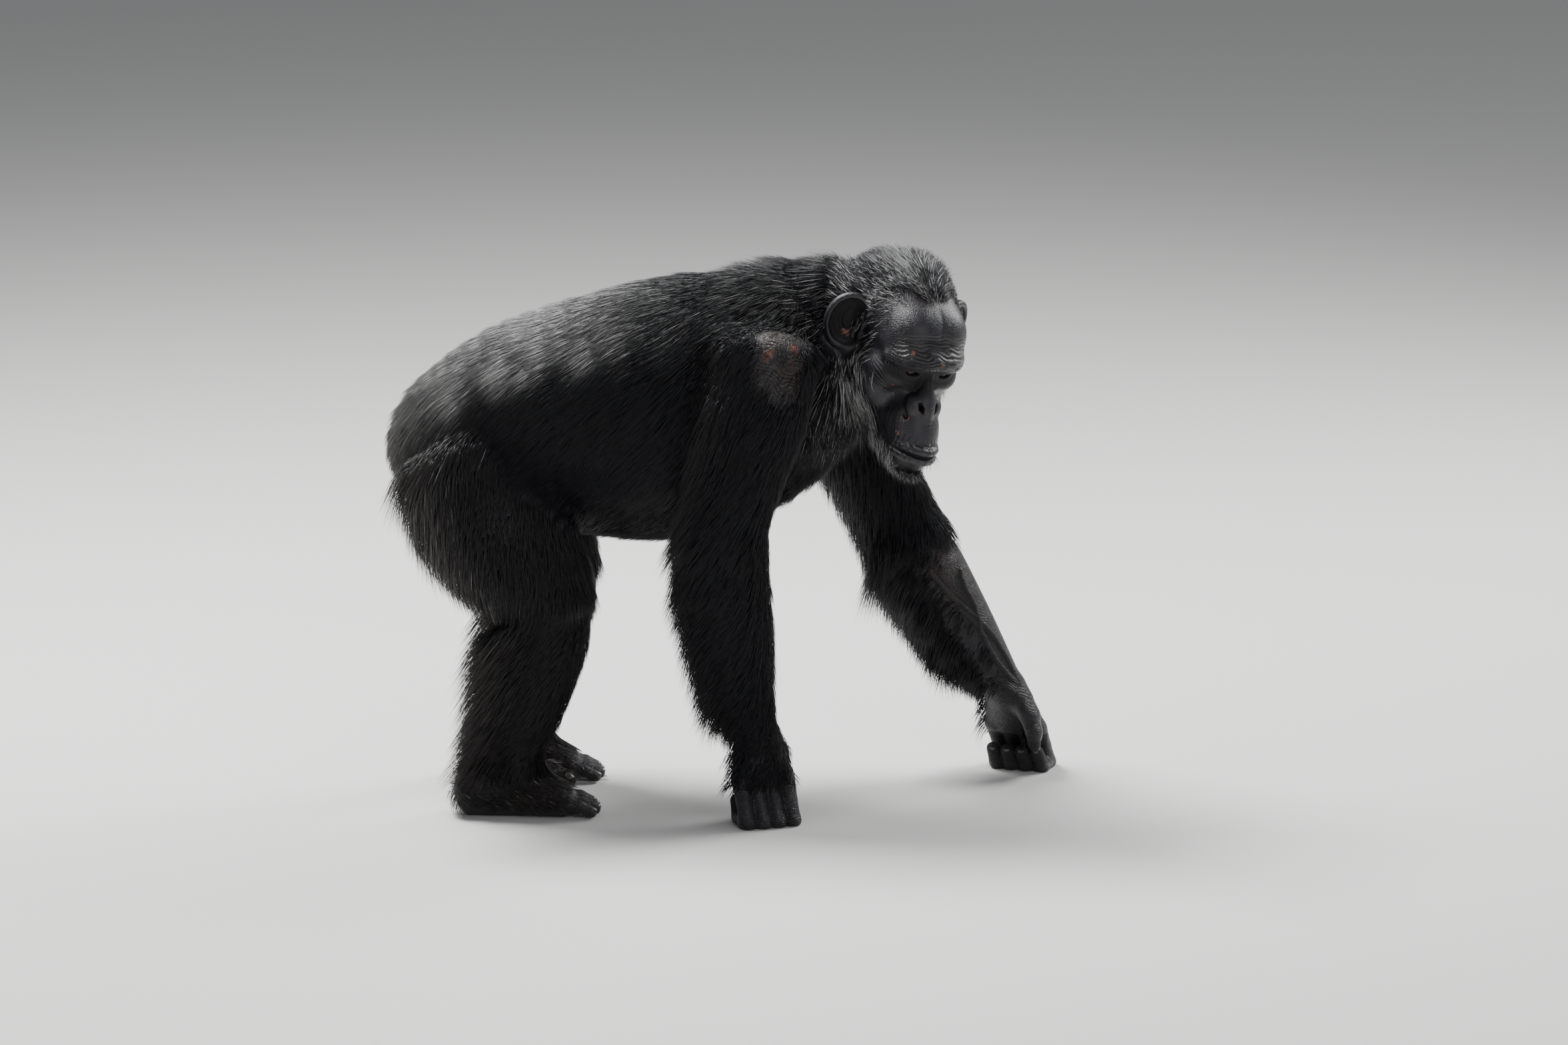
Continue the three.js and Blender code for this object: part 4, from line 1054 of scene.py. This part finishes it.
def describeHeadCoat(skin):
    q = skin["inHead"]
    x, y, z = q.T
    side, wide, zero = np.sign(y), np.abs(y), np.zeros(len(q))
    # Parts of the head, and which way the hair lies there
    cheek = fall(-20, 34, z) * ramp(20, 40, wide)
    under = fall(-118, -96, z)
    crown = np.maximum(ramp(40, 80, z), fall(-60, -10, x))
    earAway = np.minimum(earField(q, -1), earField(q, 1))
    ears = fall(3, 7, earAway)
    byEar = fall(14, 40, earAway) * ramp(-28, -8, x)
    parting = np.exp(-(y / 16) ** 2) * ramp(30, 60, z)
    flow = np.stack([zero - 1, (0.25 + 0.8 * parting) * side, zero - 0.05], 1)
    down = np.stack([0.45 + 0.4 * ramp(-20, 40, x), zero, zero - 0.7], 1)
    flow = towards(flow, down, np.maximum(cheek, byEar * (z < 45)))
    temple = ramp(-4, 16, x) * ramp(38, 54, wide) * fall(70, 90, z) * ramp(-20, 10, z)
    flow = towards(flow, np.array([-0.55, 0, -0.9]), temple)
    neck = ramp(4, 26, headField(q) - bodyField(skin["points"], ["neck", "torso"], 20))
    neckFlow = (unit(np.array([-0.94, 0.32, -0.26])) + np.array([0, 0, -0.5])) @ headTurn
    flow = towards(flow, neckFlow, neck)
    # Behind the hairline the coat is full; in front of it a few hairs stand and then the face is bare
    peak = 36 * np.exp(-(y / 26) ** 2) * ramp(60, 85, z)
    past = x - np.interp(z, hairline["z"], hairline["x"]) - peak + 4 * waves(q, 22, 64)
    sparse = 0.16 * fall(16, 46, past) * ramp(28, 44, wide) * ramp(-40, -10, z)
    inside = ramp(0, 45, -past)
    growth = (1.5 + 0.3 * cheek) * np.maximum(1 - ramp(-14, 20, past), sparse) * (1 - 0.99 * ears)
    length = (19 + 34 * cheek + 15 * crown) * (0.6 + 0.4 * inside) * (1 - 0.45 * byEar)
    lift = (4 + 6 * cheek + 17 * crown) * (0.4 + 0.6 * inside) * (1 - 0.6 * byEar)
    bareSide = ramp(0, 12, past) * (1 - cheek)
    length = towards(towards(length, 20, bareSide), 52, neck)
    lift = towards(towards(lift, 1.6, bareSide), 15 + 13 * ramp(0.3, 0.8, skin["normals"][:, 2]), neck)
    length = np.minimum(length, 7 + 0.8 * np.maximum(earAway, 0) + 60 * (x < -24))
    # The beard on chin and jaw, and white bristles between nose and lip
    beard = ramp(52, 76, x) * fall(-112, -100, z) * fall(150, 158, x)
    corner = ramp(80, 98, x) * ramp(25, 31, wide) * fall(-94, -84, z)
    beard = np.maximum(beard, corner * fall(126, 140, x))
    stubble = 0.09 * ramp(112, 124, x) * ramp(-76, -70, z) * fall(-62, -54, z)
    stubble = stubble * (1 - noseShare(q))
    bristly = stubble > 0.03
    growth = np.maximum(growth * (1 - neck) + 1.25 * neck * (1 - 0.98 * ears), np.maximum(beard, stubble))
    mess = 0.13 + 0.24 * crown * (1 - neck) + 0.3 * beard + 0.4 * bristly
    length = np.where(bristly, 4.0, towards(length, 24 + 8 * under + 8 * corner, beard))
    lift = np.where(bristly, 1.2, towards(lift, 7, beard))
    flow = towards(flow, np.stack([zero + 0.7, 0.1 * side, zero - 0.7], 1), beard)
    frostAndSheen = (0.2 * (1 - cheek) + 0.5 * cheek) * (1 - neck) + 0.15 * neck + 0.16 * beard
    frostAndSheen = (frostAndSheen + 0.25 * bristly) * (0.75 + 0.4 * waves(q, 40, 61))
    where = np.clip((x + 110) / 270, 0, 1)
    skin.update(which=np.zeros(len(q), int), where=where, angle=np.arctan2(y, z + 20))
    return flow @ headTurn.T, {"length": length, "lift": lift, "growth": growth, "frostAndSheen": frostAndSheen,
                               "warm": 0.12 * cheek, "mess": mess}


def finishFlow(skin, flow, values):
    p, quads, normals = skin["points"], skin["quads"], skin["normals"]
    flow = spread(unit(flow), quads, len(p), 14)
    flow = flow + 0.16 * np.stack([waves(p, 120, seed) for seed in (71, 72, 73)], 1)
    skin["flow"] = unit(flow - normals * (flow * normals).sum(1)[:, None])
    for key, column in values.items():
        skin[key] = spread(column, quads, len(p), 3)


for skinName, skin in skins.items():
    described = describeHeadCoat(skin) if skinName == "skinHead" else describeCoat(skin)
    finishFlow(skin, *described)
print("coat: lie of the hair worked out")


# Tufts: half widths in mm, how deep a root sits, how close to the skin a tuft may come at its ring and
# its tip and how far it is pushed out at most, the cells whose tips draw together and how much, the share
# of the frost and painted sheen that is even, how much each tuft differs, and the size of its patch of the
# map
tuftSettings = {
    "halfWidth": 0.72, "headHalfWidth": 0.30, "sink": 3.0, "clearance": (2.0, 3.0), "push": 14,
    "clump": 10.0, "pull": 0.38, "hang": 0.10, "ground": 1.2, "even": 0.6, "headEven": 0.0, "patch": 0.003,
    "longer": (0.72, 1.18), "higher": (0.35, 1.25), "wider": (0.65, 1.35), "closer": (0.5, 1.2),
}
tuftCounts = {
    "Rump": 26000, "Back": 26000, "Chest": 25000, "neck": 16000, "head": 32000,
    "arm": 12500, "armEnd": 9500, "leg": 18500, "legEnd": 5000,
}


def pickRoots(skin, chosen, count, draws):
    quads = skin["quads"]
    a, b, c, d = skin["points"][quads].transpose(1, 0, 2)
    area = 0.5 * np.linalg.norm(np.cross(c - a, d - b), axis=1)
    weight = area * np.clip(skin["growth"][quads].mean(1) - 0.03, 0, None) * chosen[quads].mean(1)
    total = np.cumsum(weight)
    spot = (np.arange(count) + draws.uniform(0, 1, count)) / count * total[-1]
    quad = quads[np.minimum(np.searchsorted(total, spot), len(quads) - 1)]
    u, v = draws.uniform(0, 1, (2, count))
    shares = np.stack([(1 - u) * (1 - v), u * (1 - v), u * v, (1 - u) * v], 1)
    roots = {"which": skin["which"][quad[:, 0]], "angle": skin["angle"][quad[:, 0]]}
    for key in ("points", "normals", "flow", "length", "lift", "frostAndSheen", "warm", "mess", "where"):
        column = skin[key][quad]
        roots[key] = (column * (shares[:, :, None] if column.ndim == 3 else shares)).sum(1)
    roots["normals"], roots["flow"] = unit(roots["normals"]), unit(roots["flow"])
    return roots


# Tufts that would run into the body where it bends inwards are pushed out along their roots' way out
def keepOutside(path, normal, field):
    for ring, clearance in enumerate(tuftSettings["clearance"], 1):
        for _ in range(3):
            short = np.clip(clearance - field(path[:, ring]), 0, tuftSettings["push"])
            path[:, ring] += normal * short[:, None]
    return path


# The tips of the tufts whose roots share a cell draw together
def drawTogether(path, root, pull):
    tip = path[:, 2]
    warped = root + 5 * np.stack([waves(root, 45, seed) for seed in (81, 82, 83)], 1)
    cells = np.floor(warped / tuftSettings["clump"]).astype(int)
    keys = (cells[:, 0] * 4096 + cells[:, 1]) * 4096 + cells[:, 2]
    _, member = np.unique(keys, return_inverse=True)
    share = np.bincount(member)
    middle = np.stack([np.bincount(member, part) / share for part in tip.T], 1)[member]
    return path + (middle - tip)[:, None, :] * (pull[:, None, None] * (tuftSteps ** 1.6)[None, :, None])


# Each tuft is a spindle: its root, a ring of three points round its path, and its tip
tuftSteps = np.array([0.0, 0.42, 1.0])
tuftAlong = np.array([0.0, 0.42, 0.42, 0.42, 1.0])
tuftFaces = np.array([[0, 2, 1], [0, 3, 2], [0, 1, 3], [1, 2, 4], [2, 3, 4], [3, 1, 4]])


def makeTufts(name, sources, material, fine=False, width=1.0, field=bodyField, clump=1.0):
    draws = np.random.default_rng(sum(map(ord, name)))
    gathered = [pickRoots(skin, chosen, count, draws) for skin, chosen, count in sources]
    roots = {key: np.concatenate([part[key] for part in gathered]) for key in gathered[0]}
    root, normal, lean = roots["points"], roots["normals"], roots["flow"]
    count = len(root)
    long = roots["length"] * draws.uniform(*tuftSettings["longer"], count)
    lift = roots["lift"] * draws.uniform(*tuftSettings["higher"], count)
    turn = draws.normal(0, 1, count) * roots["mess"]
    lean = unit(lean * np.cos(turn)[:, None] + np.cross(lean, normal) * np.sin(turn)[:, None])
    hang = tuftSettings["hang"] * long * (0.4 + np.clip(lift / 40, 0, 1))
    path = []
    for s in tuftSteps:
        rise = lift * (1 - (1 - s) ** 1.8) - tuftSettings["sink"] * (1 - s) ** 2
        sag = np.array([0, 0, -1.0]) * (hang * s * s)[:, None]
        path.append(root + lean * (long * s * 0.97)[:, None] + normal * rise[:, None] + sag)
    path = keepOutside(np.stack(path, 1), normal, field)
    pull = clump * tuftSettings["pull"] * draws.uniform(*tuftSettings["closer"], count)
    path = drawTogether(path, root, pull)
    path[..., 2] = np.maximum(path[..., 2], tuftSettings["ground"])
    forward = unit(np.gradient(path, axis=1))
    side = unit(np.cross(forward, normal[:, None, :]))
    ridge = np.cross(side, forward)[:, 1]
    halfWidth = tuftSettings["headHalfWidth" if fine else "halfWidth"] * width
    w = (halfWidth * draws.uniform(*tuftSettings["wider"], count))[:, None]
    start, middle, tip = path.transpose(1, 0, 2)
    left, top, right = middle - side[:, 1] * w, middle + ridge * w * 0.6, middle + side[:, 1] * w
    vertices = np.stack([start, left, top, right, tip], 1)
    triangles = (np.arange(count)[:, None, None] * 5 + tuftFaces).reshape(-1, 3)
    tone = draws.uniform(0, 1, count)[:, None] * np.ones(5)
    # Grey tufts, and on the back the painted sheen with them
    chance = np.clip(roots["frostAndSheen"], 0, 0.92)
    white, strength = draws.uniform(0, 1, count) < chance, draws.uniform(0.35, 1, count)
    even = tuftSettings["headEven" if fine else "even"]
    greyAndSheen = np.clip((1 - even) * white * strength + even * chance * (0.1 + 1.1 * strength), 0, 1)
    frostAndSheen = greyAndSheen[:, None] * (0.25 + 0.75 * tuftAlong ** 1.2)
    warm = np.clip(roots["warm"] * draws.uniform(0.4, 1.4, count), 0, 1)[:, None] * (0.4 + 0.6 * tuftAlong)
    marks = {"tone": tone.ravel(), "frostAndSheen": frostAndSheen.ravel(), "warm": warm.ravel()}
    piece = buildMesh(name, toWorld(vertices.reshape(-1, 3)), [triangles], material, marks)
    addPatches(piece, roots)
    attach(piece, "root")
    print("coat:", name, count * len(tuftFaces), "triangles")


# Each tuft's patch of the map lies where its root lies on the skin opened out flat
def addPatches(piece, roots):
    used, slot = np.unique(roots["which"], return_inverse=True)
    u = (slot + 0.03 + 0.92 * (roots["angle"] / (2 * math.pi) + 0.5)) / len(used)
    v = 0.02 + 0.95 * np.clip(roots["where"], 0, 1)
    patch = tuftSettings["patch"]
    corner = np.array([0.5, 0, 0.5, 1.0, 0.5])
    flat = np.stack([u[:, None] + patch * corner, v[:, None] + patch * tuftAlong], -1).reshape(-1, 2)
    mesh = piece.data
    index = np.empty(len(mesh.loops), np.int32)
    mesh.loops.foreach_get("vertex_index", index)
    layer = mesh.uv_layers.new(name="OFBake")
    layer.uv.foreach_set("vector", flat[index].astype(np.float32).ravel())


def makeCoat():
    hair = makeCoatMaterial()
    trunk, head = skins["skinTrunk"], skins["skinHead"]
    x = trunk["points"][:, 0]
    for name, low, high in (("Rump", -999, -230), ("Back", -230, -60), ("Chest", -60, 999)):
        chosen = belongs(trunk["which"], "torso") * (x >= low) * (x < high)
        makeTufts("coat" + name, [(trunk, chosen, tuftCounts[name])], hair)
    neck = [(trunk, belongs(trunk["which"], "neck"), tuftCounts["neck"])]
    makeTufts("coatNeck", neck, hair, width=0.8)
    outside = lambda p: headAndNeck(toHead(p))
    upper = head["inHead"][:, 2] > 4
    for name, chosen, clump in (("Crown", upper, 0.5), ("Cheeks", ~upper, 0.8)):
        makeTufts("coat" + name, [(head, chosen, tuftCounts["head"])], hair, True, field=outside, clump=clump)
    limbs = [("arm", side, ("upperArm", "forearm"), f"skinArm{side}") for side in ("Right", "Left")]
    limbs += [("leg", side, ("thigh", "shin", "foot"), f"skinFoot_{side.lower()}")
              for side in ("Left", "Right")]
    for limb, side, parts, endName in limbs:
        chosen, end = belongs(trunk["which"], *[part + side for part in parts]), skins[endName]
        everywhere = np.ones(len(end["points"]))
        sources = [(trunk, chosen, tuftCounts[limb]), (end, everywhere, tuftCounts[limb + "End"])]
        makeTufts(f"coat{limb.title()}{side}", sources, hair, width=0.9)


makeCoat()


# Eyes: a dark ball with a brown iris, a black pupil and a slight bulge in front of them
eyeLook = {
    "radius": 11.9, "iris": 30.0, "pupil": 12.5, "gaze": (1.0, -0.05, -0.03), "bulge": 1.1,
    "shine": {"Roughness": 0.3, "Specular IOR Level": 0.2, "Coat Weight": 0.14, "Coat Roughness": 0.06},
    "fibres": ((0.014, 0.0055, 0.0028, 1), (0.045, 0.018, 0.007, 1)),
    "white": (0.012, 0.0075, 0.006, 1), "black": (0.002, 0.002, 0.002, 1),
}


def makeEyeMaterial():
    material, tree, shader = newMaterial("eyeGloss", eyeLook["shine"])
    brown = mixColour(tree, addNoise(tree, objectPlace(tree), 700.0, 3.0)["Fac"], *eyeLook["fibres"])
    colour = mixColour(tree, readAttribute(tree, "iris"), eyeLook["white"], brown)
    colour = mixColour(tree, readAttribute(tree, "pupil"), colour, eyeLook["black"])
    tree.links.new(colour, shader["Base Color"])
    return material


# A ball's points, with its poles on the first axis, and its faces
def makeBall(turns, bands):
    j = np.arange(turns)
    a, b = np.meshgrid(np.arange(1, bands) * math.pi / bands, j * 2 * math.pi / turns, indexing="ij")
    a, b = np.concatenate([[0], a.ravel(), [math.pi]]), np.concatenate([[0], b.ravel(), [0]])
    k, zero, ring = (j + 1) % turns, np.zeros_like(j), 1 + np.arange(bands - 2)[:, None] * turns
    quads = np.stack([ring + j, ring + turns + j, ring + turns + k, ring + k], -1).reshape(-1, 4)
    last = 1 + (bands - 2) * turns
    caps = np.stack([zero, 1 + j, 1 + k, zero + last + turns, last + k, last + j], 1).reshape(-1, 3)
    return np.stack([np.cos(a), np.sin(a) * np.cos(b), np.sin(a) * np.sin(b)], 1), [quads, caps]


def makeEye(name, side, material):
    ball, faces = makeBall(48, 40)
    gaze = unit(np.array(eyeLook["gaze"]))
    first = unit(np.cross(gaze, [0, 0, 1.0]))
    degrees = np.degrees(np.arccos(np.clip(ball[:, 0], -1, 1)))
    radius = eyeLook["radius"] + eyeLook["bulge"] * np.exp(-(degrees / 26) ** 2)
    points = radius[:, None] * (ball @ np.stack([gaze, first, np.cross(first, gaze)]))
    at = np.array(eyeSettings["at"]) * np.array([1, side, 1])
    marks = {"iris": fall(eyeLook["iris"] - 4, eyeLook["iris"] + 2, degrees),
             "pupil": 1 - ramp(eyeLook["pupil"] - 2, eyeLook["pupil"] + 1, degrees)}
    piece = buildMesh(name, toWorld(fromHead(points + at)), faces, material, marks)
    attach(piece, "root")
    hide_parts("eye_left" if side > 0 else "eye_right")


eyeMaterial = makeEyeMaterial()
makeEye("eyeBallLeft", 1, eyeMaterial)
makeEye("eyeBallRight", -1, eyeMaterial)


# Nails: small crowned plates, bent over the end of each toe and finger
nailSettings = {
    "shine": {"Roughness": 0.34, "Coat Weight": 0.25, "Coat Roughness": 0.25},
    "horn": ((0.018, 0.015, 0.014, 1), (0.09, 0.075, 0.062, 1)),
}


def makeNailMaterial():
    material, tree, shader = newMaterial("nailHorn", nailSettings["shine"])
    grain = addNoise(tree, objectPlace(tree), 500.0, 4.0)["Fac"]
    bump = addBump(tree, grain, 0.3, 0.0004)
    setSockets(tree, shader, {"Base Color": mixColour(tree, grain, *nailSettings["horn"]), "Normal": bump})
    return material


def makeNail(at, forward, up, size):
    forward = unit(np.array(forward, float))
    side = unit(np.cross(np.array(up, float), forward))
    points = makeBall(16, 8)[0]
    points[:, 0] = np.copysign(np.abs(points[:, 0]) ** 0.7, points[:, 0])
    points *= np.array(size)
    points[:, 2] -= 0.06 * points[:, 1] ** 2 + 0.012 * points[:, 0] ** 2
    return points @ np.stack([forward, side, np.cross(forward, side)]) + np.array(at, float)


def toePlates(side):
    rods, big = toeRods(side)
    plates = [(np.array(points[2]) + np.array([4.6, 0, 5.2]), (1, 0, -0.55), (0.5, 0, 1), (5.2, 5.4, 1.5))
              for points, _ in rods]
    tip = np.array(big[0][2], float)
    way = unit(tip - np.array(big[0][1], float))
    over, bent = np.array([0, 0, 9.4]), np.array([0, 0, -0.35])
    return plates + [(tip + way * 4 + over, way + bent, (0, 0, 1), (7, 7.2, 1.8))]


def fingerPlates(hand):
    rods, thumb = handRods(hand)
    plates = []
    for points, _ in rods:
        way = unit(points[4] - points[3])
        out = unit(np.cross(np.array([0, 1.0, 0]), way))
        plates.append((points[4] - out * 8.2 + way * 2, way, -out, (5.6, 5.4, 1.5)))
    out = np.array([0.0, hand["thumb"], 0])
    way = unit(thumb[0][3] - thumb[0][2])
    plates.append((thumb[0][3] + way * 3 + out * 7.6, way, out, (5, 4.8, 1.4)))
    turn = rotation("z", hand["turn"])
    return [(fromHand(at, hand)[0], turn @ way, turn @ up, size) for at, way, up, size in plates]


def makeNails():
    material = makeNailMaterial()
    groups = {"toenails_left": toePlates(1), "toenails_right": toePlates(-1)}
    for side, hand in hands.items():
        groups[f"fingernails_{side.lower()}"] = fingerPlates(hand)
    for name, plates in groups.items():
        points = np.concatenate([makeNail(*plate) for plate in plates])
        points[:, 2] = np.maximum(points[:, 2], 0.2)
        size = len(points) // len(plates)
        faces = [np.concatenate([part + i * size for i in range(len(plates))]) for part in makeBall(16, 8)[1]]
        piece = buildMesh(name, toWorld(points), faces, material)
        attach(piece, "root")


makeNails()
print("eyes and nails made")


# Floor, light and camera
stageSettings = {"floor": (0.74, 0.735, 0.72, 1), "world": (0.9, 0.92, 0.95, 1), "worldStrength": 0.25}
# Place, target, size and watts of each lamp
lamps = {
    "keyHigh": ((-1.6, 0.9, 3.6), (-0.1, 0, 0.5), (1.8, 1.4), 350),
    "fillFront": ((1.6, -4.2, 2.4), (0.1, 0, 0.45), (2.4, 2.0), 48),
    "rimRight": ((2.6, 1.8, 2.6), (0.2, 0, 0.5), (1.6, 1.6), 130),
}
cameraSettings = {"look": (79.5, 0, 392.7), "distance": 8.0, "elevation": 12.0, "lens": 131.6}


def makeStage():
    material = newMaterial("floorPale", {"Base Color": stageSettings["floor"], "Roughness": 0.8})[0]
    mesh = bpy.data.meshes.new("studioFloor")
    mesh.from_pydata([(-30, -30, 0), (30, -30, 0), (30, 30, 0), (-30, 30, 0)], [], [(0, 1, 2, 3)])
    floor = bpy.data.objects.new("studioFloor", mesh)
    mesh.materials.append(material)
    bpy.context.scene.collection.objects.link(floor)
    world = bpy.data.worlds.new("studioWorld")
    bpy.context.scene.world = world
    world.use_nodes = True
    world.node_tree.nodes["Background"].inputs[0].default_value = stageSettings["world"]
    world.node_tree.nodes["Background"].inputs[1].default_value = stageSettings["worldStrength"]


def addLight(name, place, target, size, watts):
    light = bpy.data.lights.new(name, "AREA")
    light.shape, light.size, light.size_y, light.energy = "RECTANGLE", size[0], size[1], watts
    lamp = bpy.data.objects.new(name, light)
    bpy.context.scene.collection.objects.link(lamp)
    aim(lamp, np.array(place, float), np.array(target, float))


def aim(thing, place, target):
    way = unit(target - place)
    thing.location = place.tolist()
    thing.rotation_euler = (math.acos(-way[2]), 0, math.atan2(-way[0], way[1]))


def makeCamera():
    data = bpy.data.cameras.new("studioCamera")
    data.sensor_width, data.lens, data.clip_end = 36.0, cameraSettings["lens"], 100.0
    camera = bpy.data.objects.new("studioCamera", data)
    bpy.context.scene.collection.objects.link(camera)
    target = toWorld(np.array(cameraSettings["look"], float))
    e = math.radians(cameraSettings["elevation"])
    aim(camera, target + cameraSettings["distance"] * np.array([0, -math.cos(e), math.sin(e)]), target)
    bpy.context.scene.camera = camera


makeStage()
for name, lamp in lamps.items():
    addLight(name, *lamp)
makeCamera()
